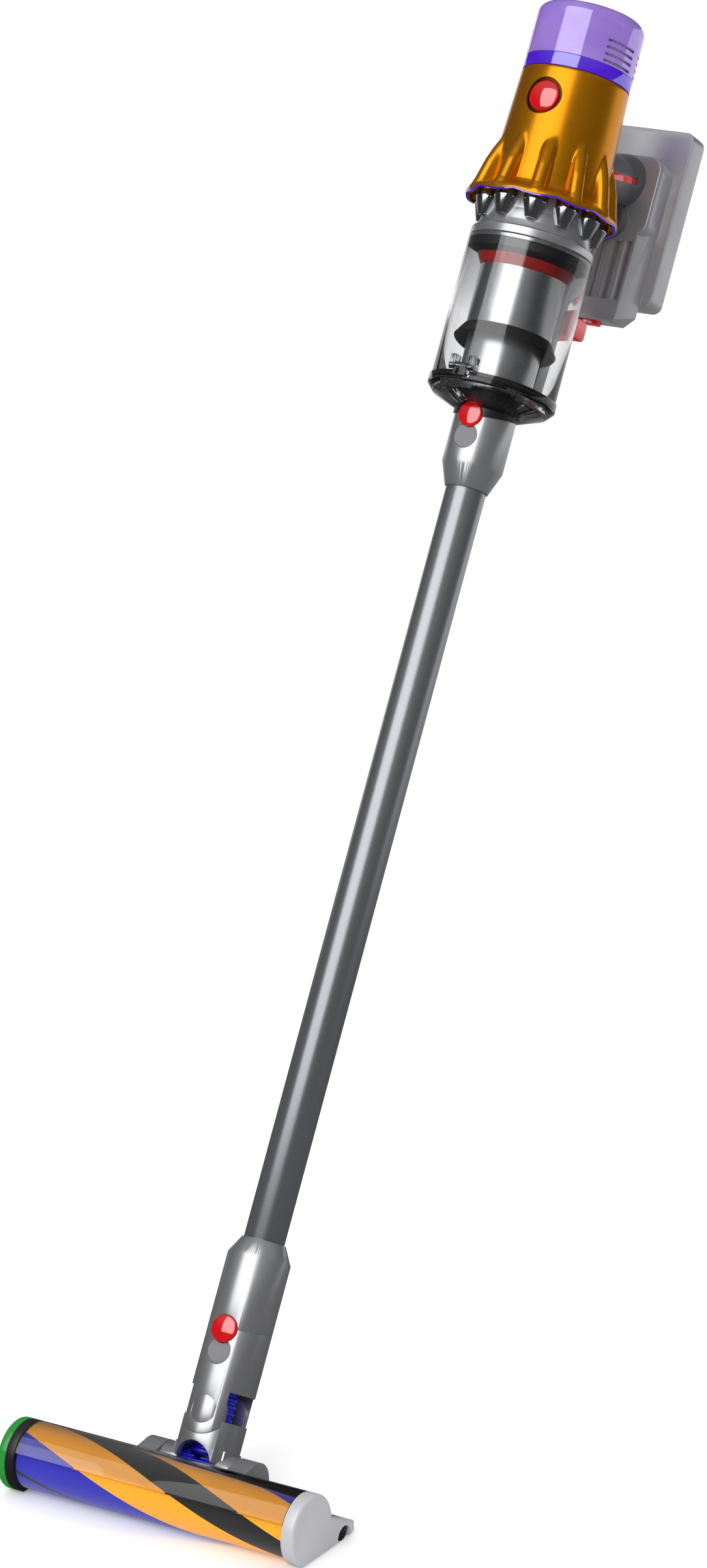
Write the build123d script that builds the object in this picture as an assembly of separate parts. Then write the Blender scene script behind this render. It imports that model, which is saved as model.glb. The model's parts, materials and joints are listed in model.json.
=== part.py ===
from build123d import *
import os
from math import cos, radians, sin

# Cordless stick vacuum cleaner, in millimetres.
# World frame: +Z up, -Y is the front, X runs along the roller.
# The origin lies on the floor, under the middle of the felt strip of the head.
# The wand leans back. Everything above the head is drawn in the wand frame,
# where z is the station along the wand, y points back and x stays x.

os.makedirs("parts", exist_ok=True)

# ---- fits ----
run_gap = 0.3          # between two pieces that move past each other
shaft_gap = 0.1        # radial, pin or shaft in its hole
seat_gap = 0.05        # between two pieces of one body that nest

# ---- floor head ----
head_width = 250
roller_y = -38
roller_z = 24
nap_radius = 23.5
nap_thickness = 3.5
core_wall = 2
hood_radius = 26.2
hood_wall = 1.4
hood_front_angle = 25      # above the front horizontal, about the roller axis
hood_rear_angle = 185
end_plate_width = 7
lens_width = 7
cap_width = 10
tail_length = 56           # roller axis to the rear of the side pieces
tail_height = 10
felt_thickness = 1
felt_depth = 9
roller_motor_radius = 14
roller_motor_length = 92
wheel_radius = 7
wheel_width = 6
wheel_axle_radius = 1.6

# ---- neck ----
lean = 29.2                # wand from vertical, degrees
pivot_y = 12.06
pivot_z = 18.96
pivot_station = 20         # pitch axis, along the wand
barrel_radius = 16.5
barrel_half = 30
cheek_radius = 17
saddle_half = 46
pitch_pin_radius = 5
yoke_radius = 23
yoke_wall = 4.5
yoke_low = 28
yoke_high = 58
arch_radius = 14.5
arch_top = 40.4
tilt_station = 63.5
tongue_radius = 17.7
tongue_inner = 17.5
tilt_cheek_radius = 15
tilt_cheek_thickness = 4.5
tilt_disc_radius = 10.2
tilt_pin_radius = 6
hose_radius = 11.6
hose_wall = 1.6
hose_pitch = 5

# ---- wand ----
neck_top = 79.3
collar_radius = 23.25
collar_bore = 17
head_collar_length = 46.3
head_seam_tilt = 7
wand_length = 684.4        # seam to seam
wand_seam_tilt = 9
tube_radius = 15
tube_wall = 1.6
lower_collar_length = 64.4
upper_collar_length = 55
cone_length = 15
spigot_radius = 19
spigot_length = 18
button_radius = 10
button_proud = 2.4
button_travel = 1.5
button_depth = 3.2
button_stem = 3

# ---- bin ----
socket_clearance = 0.75    # inlet socket over the wand collar
dish_height = 16
bin_radius = 46.7
bin_wall = 1.5
bin_length = 109
flange_rim = 1.3           # base flange past the bin wall
dish_wall = 5              # flange edge to the dish, inside and out
seal_taper = 1.5
runner_half = 9
runner_back = 64
runner_length = 90
release_half = 18
release_back = 79
release_height = 15
base_hinge_out = 51.5
base_hinge_radius = 1.6

# ---- shroud, inside the bin ----
shroud_radius = 32.3
shroud_wall = 1
shroud_length = 43
lower_tube_radius = 28.5
duct_radius = 20
duct_wall = 1.6
wiper_clearance = 5.9      # wiper lip to the bin wall
wiper_height = 9
red_ring_radius = 37
red_ring_height = 8
bin_seal_height = 10

# ---- cyclones and motor ----
cyclone_count = 11
first_cusp = 5.5           # degrees from the front towards +X
cone_circle = 41.5
cone_top_radius = 9.2
cone_tip_radius = 4.6
cone_below_skirt = 15.5
cone_above_skirt = 7
ring_set_in = 0.4          # cyclone ring inside the bin's outer surface
ring_height = 7
skirt_radius = 57.3
skirt_rise = 29           # bin top to the lowest edge of the skirt
skirt_drop = 2
skirt_height = 52
shelf_height = 12          # skirt edge to the crease above it
housing_low_radius = 42.3
housing_top_radius = 40.4
housing_length = 49.5
housing_wall = 2.4
crease_flare = 1.7         # crease past the housing radius
flute_height = 46
gasket_thickness = 0.8
motor_radius = 27
motor_length = 46
shaft_radius = 3
impeller_radius = 23
power_station_below_top = 24
power_radius = 11.8
power_depth = 6.3
power_travel = 1.5
power_stem = 2.5
bezel_radius = 14.3
bezel_recess = 2.6

# ---- filter and screen ----
filter_length = 52.5
filter_round = 17
filter_wall = 2
band_height = 10
louvre_pitch = 5.2
louvre_height = 2.2
filter_bore = 25
screen_radius = 23

# ---- handle and battery ----
grip_half = 18.5
grip_root_half = 23.5
grip_rise = 12             # degrees, up towards the back
grip_height = 39
grip_centre_below_top = 42.8
grip_low_below_top = 64.5
block_front = 101
block_back = 120
block_half = 33
block_front_half = 26.3
panel_half = 24.3
rib_radius = 4.4
block_low_below_top = 148.5
block_high_below_top = 19.5
battery_half = 42
battery_depth = 22
battery_low_below_top = 130.5
battery_rise = 7.5
cell_radius = 9
cell_pitch = 18.6

# ---- stations along the wand, worked out from the lengths above ----
socket_radius = collar_radius + socket_clearance
flange_radius = bin_radius + flange_rim
dish_bore = flange_radius - dish_wall - 3
wiper_low_radius = bin_radius - bin_wall - wiper_clearance
ring_radius = bin_radius - ring_set_in
head_seam = neck_top + head_collar_length
wand_seam = head_seam + wand_length
tube_low = head_seam + lower_collar_length
tube_high = wand_seam - upper_collar_length
bin_low = wand_seam + dish_height + 4
bin_high = bin_low + bin_length
skirt_tip = bin_high + skirt_rise
crease = skirt_tip + shelf_height
crease_radius = housing_low_radius + crease_flare
housing_low = skirt_tip + skirt_height
housing_high = housing_low + housing_length
filter_high = housing_high + filter_length
cap_in = head_width / 2 - cap_width
plate_out = -head_width / 2 + lens_width
plate_in = plate_out + end_plate_width
lobe_step = 360 / cyclone_count

lean_sin, lean_cos = sin(radians(lean)), cos(radians(lean))
wand_frame = Location((0, pivot_y - pivot_station * lean_sin, pivot_z - pivot_station * lean_cos),
                      (-lean, 0, 0))
world_frame = Location((0, 0, 0))


def rod(radius, low, high, x=0, y=0):
    return Pos(x, y, low) * Cylinder(radius, high - low, align=(Align.CENTER, Align.CENTER, Align.MIN))


def ring(outer, inner, low, high):
    return rod(outer, low, high) - rod(inner, low - 1, high + 1)


def turned(points):
    """Body of revolution about z from (radius, height) points."""
    return revolve(Plane.XZ * make_face(Polyline(*points, close=True)), Axis.Z)


def cross_rod(radius, x_low, x_high, y, z):
    return Pos(x_low, y, z) * Rot(0, 90, 0) * Cylinder(
        radius, x_high - x_low, align=(Align.CENTER, Align.CENTER, Align.MIN))


def depth_rod(radius, y_low, y_high, z, x=0):
    return Pos(x, y_low, z) * Rot(-90, 0, 0) * Cylinder(
        radius, y_high - y_low, align=(Align.CENTER, Align.CENTER, Align.MIN))


def slab(x_low, x_high, y_low, y_high, z_low, z_high):
    centre = ((x_low + x_high) / 2, (y_low + y_high) / 2, (z_low + z_high) / 2)
    return Pos(*centre) * Box(x_high - x_low, y_high - y_low, z_high - z_low)


def side_profile(points, x_low, x_high):
    """Prism along X from (y, z) points."""
    face = Plane.YZ * make_face(Polyline(*points, close=True))
    return Pos(x_low, 0, 0) * extrude(face, x_high - x_low)


def around(shape, count, start):
    """Copies about z; the angle counts from the front towards +X."""
    return [Rot(0, 0, start + n * 360 / count) * shape for n in range(count)]


def save(name, shape, frame=wand_frame):
    pieces = shape if isinstance(shape, list) else [shape]
    placed = Compound([frame * solid for piece in pieces for solid in piece.solids()])
    export_step(placed, f"parts/{name}.step")


def tilted_half_space(station, tilt, above):
    """Big block on one side of the oblique seam, which is lower at the front."""
    size = 200
    shift = size / 2 if above else -size / 2
    return Pos(0, 0, station) * Rot(tilt, 0, 0) * Pos(0, 0, shift) * Box(size, size, size)


# ================= floor head (world frame) =================
def roller_disc(radius, x_low, x_high):
    return cross_rod(radius, x_low, x_high, roller_y, roller_z)


def end_outline(x_low, x_high):
    """Side view of the end pieces: a disc round the roller with a low tail behind it."""
    tail = side_profile([(roller_y, felt_thickness), (roller_y + tail_length - 3, felt_thickness),
                         (roller_y + tail_length, 3.5), (roller_y + tail_length, tail_height),
                         (roller_y + 23.4, roller_z + 1), (roller_y, roller_z + 1)], x_low, x_high)
    disc = roller_disc(hood_radius, x_low, x_high)
    return (disc + tail) & slab(x_low, x_high, -200, 200, felt_thickness, 200)


def hood_sector(outer, inner, angle_low, angle_high, x_low, x_high):
    """Arc wall about the roller axis; the angle counts from the front, upwards."""
    def at(radius, angle):
        return (roller_y - radius * cos(radians(angle)), roller_z + radius * sin(radians(angle)))
    middle = (angle_low + angle_high) / 2
    outside = ThreePointArc(at(outer, angle_low), at(outer, middle), at(outer, angle_high))
    inside = ThreePointArc(at(inner, angle_high), at(inner, middle), at(inner, angle_low))
    sides = [Line(at(outer, angle_high), at(inner, angle_high)),
             Line(at(inner, angle_low), at(outer, angle_low))]
    face = Plane.YZ * make_face([outside, sides[0], inside, sides[1]])
    return Pos(x_low, 0, 0) * extrude(face, x_high - x_low)


def make_head():
    hood = hood_sector(hood_radius, hood_radius - hood_wall, hood_front_angle, hood_rear_angle,
                       plate_in + seat_gap, cap_in)
    save("head_hood", hood, world_frame)

    chamber = hood_radius + seat_gap
    body = side_profile([(roller_y + 8, felt_thickness), (roller_y + tail_length - 3, felt_thickness),
                         (roller_y + tail_length, 3.5), (roller_y + tail_length, tail_height),
                         (roller_y + 24, roller_z), (roller_y + 8, roller_z)], plate_in + seat_gap, cap_in)
    barrel_room = cross_rod(barrel_radius + 2 * run_gap, -barrel_half - run_gap, barrel_half + run_gap,
                            pivot_y, pivot_z)
    rear_room = slab(-barrel_half - run_gap, barrel_half + run_gap, pivot_y - 6, 200, -1, 200)
    cheeks = []
    for side in (-1, 1):
        near, far = sorted((side * (barrel_half + run_gap), side * saddle_half))
        lobe = cross_rod(cheek_radius, near, far, pivot_y, pivot_z)
        front = side_profile([(roller_y + 20, felt_thickness), (pivot_y, pivot_z - cheek_radius),
                              (pivot_y, pivot_z + cheek_radius), (roller_y + 20, roller_z + 8)], near, far)
        cheeks.append(lobe + front)
    body = body + cheeks[0] + cheeks[1]
    body -= roller_disc(chamber, plate_in - 5, cap_in + 5)
    body -= barrel_room + rear_room
    duct = slab(-18, 18, roller_y + 15, pivot_y, 7, 17)
    body -= duct
    body &= slab(-200, 200, -200, 200, felt_thickness, 200)
    body -= cross_rod(pitch_pin_radius + seat_gap, -saddle_half - 1, saddle_half + 1, pivot_y, pivot_z)
    for side in (-1, 1):
        middle = side * (barrel_half + saddle_half) / 2
        body -= cross_rod(wheel_radius + 1, middle - wheel_width / 2 - run_gap,
                          middle + wheel_width / 2 + run_gap,
                          rear_wheel_y, wheel_radius)
        body -= cross_rod(wheel_axle_radius + shaft_gap, middle - 6, middle + 6, rear_wheel_y, wheel_radius)
    save("head_base", body, world_frame)

    pins = [cross_rod(pitch_pin_radius, near, far, pivot_y, pivot_z)
            for near, far in ((-saddle_half, -barrel_half + 10), (barrel_half - 10, saddle_half))]
    save("pitch_pins", pins, world_frame)

    felt = [slab(plate_in + 3, cap_in - 3, -felt_depth / 2, felt_depth / 2, 0, felt_thickness)]
    save("sole_felt", felt, world_frame)


def make_head_ends():
    lens = end_outline(-head_width / 2, plate_out)
    lens = fillet(lens.faces().sort_by(Axis.X)[0].edges(), 2)
    lens -= roller_disc(hood_radius - 7, -head_width / 2 - 1, -head_width / 2 + 3)
    save("light_lens", lens, world_frame)

    plate = end_outline(plate_out + seat_gap, plate_in)
    save("end_plate", plate, world_frame)

    cap = end_outline(cap_in + run_gap, head_width / 2)
    cap = fillet(cap.faces().sort_by(Axis.X)[-1].edges(), 2.4)
    wheel_from = cap_in + 2
    wheel_to = wheel_from + wheel_width
    cap -= cross_rod(wheel_radius + 0.7, wheel_from - run_gap, wheel_to + run_gap, side_wheel_y,
                     wheel_radius)
    cap -= slab(wheel_from - run_gap, wheel_to + run_gap, side_wheel_y - wheel_radius - 0.7,
                side_wheel_y + wheel_radius + 0.7, -1, wheel_radius)
    cap -= cross_rod(8.5, wheel_to, head_width, side_wheel_y, 3) & slab(0, 200, -200, 200, -10, 11.5)
    cap -= cross_rod(wheel_axle_radius + shaft_gap, cap_in + 1, wheel_to, side_wheel_y, wheel_radius)
    spigot = roller_disc(8, cap_in - 12, cap_in + run_gap)
    save("end_cap", cap + spigot, world_frame)

    side_wheel = cross_rod(wheel_radius, wheel_from, wheel_to, side_wheel_y, wheel_radius)
    side_wheel += cross_rod(wheel_axle_radius, cap_in + 1.2, wheel_from, side_wheel_y, wheel_radius)
    save("side_wheel", side_wheel, world_frame)

    wheels = []
    for side in (-1, 1):
        middle = side * (barrel_half + saddle_half) / 2
        wheel = cross_rod(wheel_radius, middle - wheel_width / 2, middle + wheel_width / 2, rear_wheel_y,
                          wheel_radius)
        wheel += cross_rod(wheel_axle_radius, middle - 5.8, middle + 5.8, rear_wheel_y, wheel_radius)
        wheels.append(wheel)
    save("rear_wheels", wheels, world_frame)


def make_roller():
    low, high = plate_in + run_gap, cap_in - run_gap
    core_radius = nap_radius - nap_thickness
    core = roller_disc(core_radius, low, high) - roller_disc(core_radius - core_wall, low - 1, high + 1)
    core += roller_disc(core_radius - core_wall, high - 8, high) - roller_disc(8 + shaft_gap, high - 9,
                                                                               high + 1)
    hub_low = plate_in + roller_motor_length + 2
    core += roller_disc(core_radius - core_wall, hub_low, hub_low + 6)
    core -= roller_disc(3 + shaft_gap, hub_low - 1, hub_low + 7)
    save("roller_core", core, world_frame)

    sleeve = roller_disc(nap_radius, low, high) - roller_disc(core_radius + seat_gap, low - 1, high + 1)
    save("roller_sleeve", sleeve, world_frame)

    motor = roller_disc(roller_motor_radius, plate_in + seat_gap, plate_in + roller_motor_length)
    motor += roller_disc(3, plate_in + roller_motor_length, hub_low + 5)
    save("roller_motor", motor, world_frame)


# ================= neck (wand frame) =================
def tongue_outline(radius, y_low, y_high, top):
    """U shape about the tilt axis, open upwards."""
    prism = depth_rod(radius, y_low, y_high, tilt_station)
    return prism + slab(-radius, radius, y_low, y_high, tilt_station, top)


def make_neck():
    yoke = ring(yoke_radius, yoke_radius - yoke_wall, yoke_low, yoke_high)
    yoke += ring(yoke_radius, hose_radius + 1, yoke_low + 9, yoke_low + 13)
    recess_in = tongue_inner - run_gap
    for side in (-1, 1):
        near, far = sorted((side * recess_in, side * 40))
        yoke -= tongue_outline(tongue_radius + run_gap, near, far, 200)
        near, far = sorted((side * (recess_in - tilt_cheek_thickness), side * recess_in))
        cheek = depth_rod(tilt_cheek_radius, near, far, tilt_station)
        cheek += slab(-tilt_cheek_radius, tilt_cheek_radius, near, far, yoke_low + 13, tilt_station)
        cheek -= depth_rod(tilt_pin_radius + shaft_gap, -40, 40, tilt_station)
        yoke += cheek
    for side in (-1, 1):
        near, far = sorted((side * (arch_radius + run_gap), side * barrel_half))
        drum = cross_rod(barrel_radius, near, far, 0, pivot_station)
        web = slab(*sorted((side * (arch_radius + run_gap), side * 21)), -12, 12, pivot_station,
                   yoke_low + 10)
        yoke += drum + web
    spring_line = arch_top - arch_radius
    arch_sides = Polyline((arch_radius, spring_line), (arch_radius, 0), (-arch_radius, 0),
                          (-arch_radius, spring_line))
    arch_crown = ThreePointArc((-arch_radius, spring_line), (0, arch_top), (arch_radius, spring_line))
    yoke -= Pos(0, -6, 0) * extrude(Plane.XZ * make_face([*arch_sides.edges(), arch_crown]), 34)
    yoke -= cross_rod(pitch_pin_radius + shaft_gap, -60, 60, 0, pivot_station)
    yoke -= rod(hose_radius + 0.5, -60, 100)
    save("neck_yoke", yoke)

    folds = int((neck_top + 6 - yoke_low - 4) / hose_pitch)
    outline = []
    for n in range(folds):
        foot = yoke_low + 4 + n * hose_pitch
        outline += [(hose_radius - 1.2, foot), (hose_radius, foot + 1.2), (hose_radius, foot + 2.6),
                    (hose_radius - 1.2, foot + 3.8)]
    top = outline[-1][1]
    inner = hose_radius - hose_wall - 1.2
    save("neck_hose", turned([(inner, outline[0][1])] + outline + [(inner, top)]))

    ridges = 26
    bellows = cross_rod(barrel_radius - 2.2, -arch_radius + 0.5, arch_radius - 0.5, 0, pivot_station)
    for n in range(ridges):
        angle = radians(n * 360 / ridges)
        bellows += cross_rod(1.1, -arch_radius + 0.5, arch_radius - 0.5, (barrel_radius - 2.1) * cos(angle),
                             pivot_station + (barrel_radius - 2.1) * sin(angle))
    bellows -= rod(hose_radius + 0.5, pivot_station + 8, 100)
    save("neck_bellows", bellows)


def make_head_collar():
    body = ring(collar_radius, collar_bore, neck_top, head_seam + 10)
    body -= rod(collar_radius - 3.2, neck_top - 1, neck_top + 12)
    body -= tilted_half_space(head_seam, head_seam_tilt, True)
    for side in (-1, 1):
        near, far = sorted((side * 2, side * 40))
        tongue = tongue_outline(tongue_radius, near, far, neck_top + 1)
        shell = ring(collar_radius, tongue_inner, 0, neck_top + 1)
        flat = slab(-40, 40, *sorted((side * tongue_inner, side * 40)), 0, 200)
        body += tongue & shell & flat
        body -= depth_rod(tilt_disc_radius + seat_gap, *sorted((side * (collar_radius - 2.2), side * 40)),
                          tilt_station)
        body -= depth_rod(tilt_pin_radius + seat_gap, *sorted((side * 10, side * 40)), tilt_station)
    spigot = ring(spigot_radius - run_gap, collar_bore - 1, head_seam - 8, head_seam + spigot_length)
    spigot -= tilted_half_space(head_seam, head_seam_tilt, False) & ring(60, collar_bore, 0, 400)
    body += spigot
    pocket = depth_rod(button_radius + run_gap, -40,
                       -collar_radius + button_depth + button_travel + run_gap,
                       head_button)
    body -= pocket
    body -= depth_rod(button_stem + run_gap, -40, -collar_bore + 2, head_button)
    scoop = Pos(0, -collar_radius - 3, head_button - button_radius - 6) * Sphere(10.5)
    body -= scoop
    save("head_collar", body)

    pins = []
    for side in (-1, 1):
        disc = depth_rod(tilt_disc_radius, *sorted((side * (collar_radius - 2.2), side * 40)), tilt_station)
        disc &= rod(collar_radius - 0.2, 0, 200)
        stem = depth_rod(tilt_pin_radius, *sorted((side * 12.9, side * (collar_radius - 2.2))),
                         tilt_station)
        pins.append(disc + stem)
    save("tilt_pins", pins)


def press_button(station, radius):
    """Round push button on the front of a collar, with its stem."""
    face = -collar_radius - button_proud
    button = depth_rod(radius, face, -collar_radius + button_depth, station)
    button = fillet(button.edges().sort_by(Axis.Y)[0], 1.2)
    return button + depth_rod(button_stem, -collar_radius + button_depth, -collar_bore - 0.3, station)


# ================= wand =================
def make_wand():
    save("wand_tube", ring(tube_radius, tube_radius - tube_wall, tube_low - 30, tube_high + 30))

    lower = turned([(spigot_radius, head_seam - 10), (collar_radius, head_seam - 10),
                    (collar_radius, tube_low - cone_length + 2), (tube_radius + 1.2, tube_low),
                    (tube_radius + seat_gap, tube_low), (tube_radius + seat_gap, tube_low - 30),
                    (spigot_radius, tube_low - 30)])
    lower &= tilted_half_space(head_seam + seat_gap, head_seam_tilt, True)
    lower -= depth_rod(button_radius + run_gap, -40, -spigot_radius + 1, head_button)
    lower -= slab(-button_radius - run_gap, button_radius + run_gap, -40, -spigot_radius + 1, 0,
                  head_button)
    save("wand_collar_lower", lower)

    upper = turned([(tube_radius + seat_gap, tube_high), (tube_radius + 1.2, tube_high),
                    (collar_radius - 0.5, tube_high + cone_length + 2.5), (collar_radius - 0.5,
                                                                           wand_seam + 10),
                    (collar_bore - 1.6, wand_seam + 10), (collar_bore - 1.6, tube_high + 30),
                    (tube_radius + seat_gap, tube_high + 30)])
    upper -= tilted_half_space(wand_seam, wand_seam_tilt, True)
    spigot = ring(spigot_radius - run_gap, collar_bore - 1.6, wand_seam - 8, wand_seam + spigot_length)
    spigot -= tilted_half_space(wand_seam, wand_seam_tilt, False) & ring(60, collar_bore, 0, 2000)
    upper += spigot
    upper -= depth_rod(button_radius - 0.7 + run_gap, -40,
                       -collar_radius + button_depth + button_travel + run_gap, wand_button)
    upper -= depth_rod(button_stem + run_gap, -40, -collar_bore + 2, wand_button)
    upper -= Pos(0, -collar_radius - 3, wand_button - button_radius - 6) * Sphere(10.5)
    save("wand_collar_upper", upper)

    save("wand_button", press_button(wand_button, button_radius - 0.7))
    save("head_button", press_button(head_button, button_radius))


# ================= bin =================
def make_bin():
    shell = ring(bin_radius, bin_radius - bin_wall, bin_low, bin_high - run_gap)
    save("bin_shell", shell)

    runner = slab(-runner_half, runner_half, 30, runner_back, bin_high - 7 - runner_length, bin_high - 7)
    runner -= rod(bin_radius + seat_gap, 0, 2000)
    save("bin_runner", runner)

    top = release_station + release_height / 2
    low = release_station - release_height / 2
    release = slab(-release_half, release_half, runner_back - 3, release_back, low, top)
    release = fillet(release.edges().filter_by(Axis.X).sort_by(Axis.Y)[-2:], 4)
    release -= slab(-runner_half - run_gap, runner_half + run_gap, 0, runner_back + run_gap, low - 1,
                    top + 1)
    save("bin_release", release)

    lugs = []
    for side in (-1, 1):
        near, far = sorted((side * (5 + run_gap), side * 10))
        lug = cross_rod(3.2, near, far, -base_hinge_out, bin_low + 4)
        lug += slab(near, far, -base_hinge_out, -bin_radius + 3, bin_low + 3, bin_low + 12)
        lug += slab(near, far, -base_hinge_out - 3, -bin_radius + 3, bin_low + 4, bin_low + 12)
        lug -= rod(bin_radius + seat_gap, 0, 2000)
        lug -= cross_rod(base_hinge_radius + seat_gap, -30, 30, -base_hinge_out, bin_low + 4)
        lugs.append(lug)
    save("hinge_lugs", lugs)
    save("hinge_pin", cross_rod(base_hinge_radius, -10, 10, -base_hinge_out, bin_low + 4))


def make_bin_base():
    lip = bin_low + 2
    flange_low = bin_low - 4
    dish = turned([(socket_radius + seat_gap, wand_seam + 2.5),
                   (flange_radius - dish_wall, flange_low - 5.5),
                   (flange_radius, flange_low),
                   (flange_radius, lip), (bin_radius + run_gap, lip), (bin_radius + run_gap,
                                                                       bin_low - run_gap),
                   (bin_radius - bin_wall - 0.2, bin_low - run_gap), (bin_radius - bin_wall - 0.2,
                                                                      bin_low - 2.5),
                   (dish_bore, bin_low - 2.5), (dish_bore, flange_low - 3.7),
                   (socket_radius + seat_gap, wand_seam + 5.3)])
    knuckle = cross_rod(3, -5, 5, -base_hinge_out, bin_low + 4)
    knuckle += slab(-5, 5, -base_hinge_out - 3, -flange_radius + 2, flange_low + 1, bin_low + 4)
    knuckle -= rod(bin_radius + run_gap, bin_low - 1, 2000)
    knuckle -= rod(flange_radius - 0.5, 0, bin_low - 0.5)
    knuckle -= cross_rod(base_hinge_radius + shaft_gap, -30, 30, -base_hinge_out, bin_low + 4)
    dish -= depth_rod(button_radius - 0.7 + run_gap, -40, -spigot_radius, wand_button)
    save("bin_base", dish + knuckle)

    seal_radius = bin_radius - bin_wall - 0.5
    seal = turned([(dish_bore + run_gap, bin_low - 2.5), (seal_radius, bin_low - 2.5),
                   (seal_radius, bin_low - 0.3),
                   (seal_radius - seal_taper, bin_low + 4), (dish_bore + run_gap, bin_low + 4)])
    save("base_seal", seal)

    catch = slab(-6, 6, 40, flange_radius + 4, flange_low + 1, bin_low + 4)
    catch -= rod(flange_radius + seat_gap, 0, lip)
    catch -= rod(bin_radius + 2 * run_gap, lip - 1, 2000)
    save("base_catch", catch)

    socket = turned([(spigot_radius, wand_seam - 10), (socket_radius, wand_seam - 10),
                     (socket_radius, wand_seam + 6), (22, wand_seam + 6),
                     (22, bin_low + 2), (spigot_radius, bin_low + 2)])
    socket &= tilted_half_space(wand_seam + seat_gap, wand_seam_tilt, True)
    socket -= depth_rod(button_radius - 0.7 + run_gap, -40, -spigot_radius + 1, wand_button)
    socket -= slab(-button_radius, button_radius, -40, -spigot_radius + 1, 0, wand_button)
    save("inlet_socket", socket)


# ================= shroud and cyclones =================
def make_shroud():
    seal_high = bin_high - 3
    seal_low = seal_high - bin_seal_height
    red_low = seal_low - red_ring_height
    mesh_low = red_low - shroud_length
    bin_fit = bin_radius - bin_wall - run_gap
    seal = turned([(shroud_radius - 2, seal_low), (red_ring_radius, seal_low), (bin_fit, seal_low + 3),
                   (bin_fit, seal_high), (shroud_radius - 2, seal_high)])
    save("bin_seal", seal)
    save("shroud_ring", turned([(shroud_radius - 2, red_low), (shroud_radius + 0.2, red_low),
                                (red_ring_radius, seal_low), (shroud_radius - 2, seal_low)]))
    save("shroud_mesh", ring(shroud_radius, shroud_radius - shroud_wall, mesh_low, red_low))
    wiper = turned([(lower_tube_radius, mesh_low), (shroud_radius + 1.2, mesh_low),
                    (wiper_low_radius, mesh_low - wiper_height), (wiper_low_radius - 2,
                                                                  mesh_low - wiper_height),
                    (shroud_radius - 1, mesh_low - 2.5), (lower_tube_radius, mesh_low - 2.5)])
    save("wiper_skirt", wiper)
    tube_top = mesh_low - 2.5
    tube = ring(lower_tube_radius, lower_tube_radius - 1.5, bin_low + 2 + run_gap, tube_top)
    tube += ring(lower_tube_radius - 1.5, duct_radius, tube_top - 3, tube_top)
    save("shroud_tube", tube)
    save("inlet_duct", ring(duct_radius - seat_gap, duct_radius - duct_wall, bin_low + 2 + run_gap,
                            seal_high))


def make_cyclones():
    plate_low = bin_high - 3
    ring_top = bin_high + ring_height
    neck_high = skirt_tip + 10
    lower = turned([(duct_radius, plate_low), (ring_radius - 3, plate_low), (ring_radius - 3, bin_high),
                    (ring_radius, bin_high), (ring_radius, ring_top), (ring_radius - 10, ring_top + 9),
                    (ring_radius - 12, neck_high), (duct_radius, neck_high)])
    cone_low = skirt_tip - cone_below_skirt
    room = turned([(0, cone_low - 1), (skirt_radius + 5, cone_low - 1), (skirt_radius + 5, skirt_tip - 0.5),
                   (skirt_radius - 2.5, skirt_tip), (skirt_radius - 2.5, skirt_tip + skirt_drop - 1.2),
                   (crease_radius + 3.2, crease - 4.2), (crease_radius - 0.4 - housing_wall, crease),
                   (housing_low_radius + 0.7 - housing_wall, housing_low), (0, housing_low)])
    cones = []
    for turn in range(cyclone_count):
        place = Rot(0, 0, first_cusp + (turn + 0.5) * lobe_step) * Pos(0, -cone_circle, 0)
        cones.append(place * cone_profile(cone_low, 0))
        lower -= place * cone_profile(cone_low, seat_gap)
    save("cyclone_body", lower)
    save("cyclone_cones", [cone & room for cone in cones])


def cone_profile(low, extra):
    """Cone of one cyclone, tapering down from the skirt; extra thickens it all round."""
    tip, top = cone_tip_radius + extra, cone_top_radius + extra
    return turned([(0, low - extra), (tip, low - extra), (top, skirt_tip - 2),
                   (top, skirt_tip + cone_above_skirt),
                   (0, skirt_tip + cone_above_skirt)])


def skirt_notch(lift):
    """Cutter that lifts the edge of the skirt to a cusp between two lobes."""
    half = skirt_radius * sin(radians(lobe_step / 2))
    face = Plane.XZ * make_face(Polyline((-half, lift - 4), (half, lift - 4), (half, lift),
                                         (0, lift + skirt_drop),
                                         (-half, lift), close=True))
    return Pos(0, -skirt_radius - 3, skirt_tip) * extrude(face, -24)


def housing_outside():
    return [(skirt_radius, skirt_tip), (skirt_radius, skirt_tip + skirt_drop),
            (crease_radius + 5, crease - 3),
            (crease_radius, crease), (housing_low_radius, housing_low), (housing_top_radius, housing_high)]


def housing_inside():
    inner = skirt_radius - 2.2
    return [(housing_top_radius - housing_wall, housing_high),
            (housing_low_radius - housing_wall, housing_low),
            (crease_radius - housing_wall, crease), (crease_radius + 3.5, crease - 4),
            (inner, skirt_tip + skirt_drop - 1), (inner, skirt_tip)]


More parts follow.
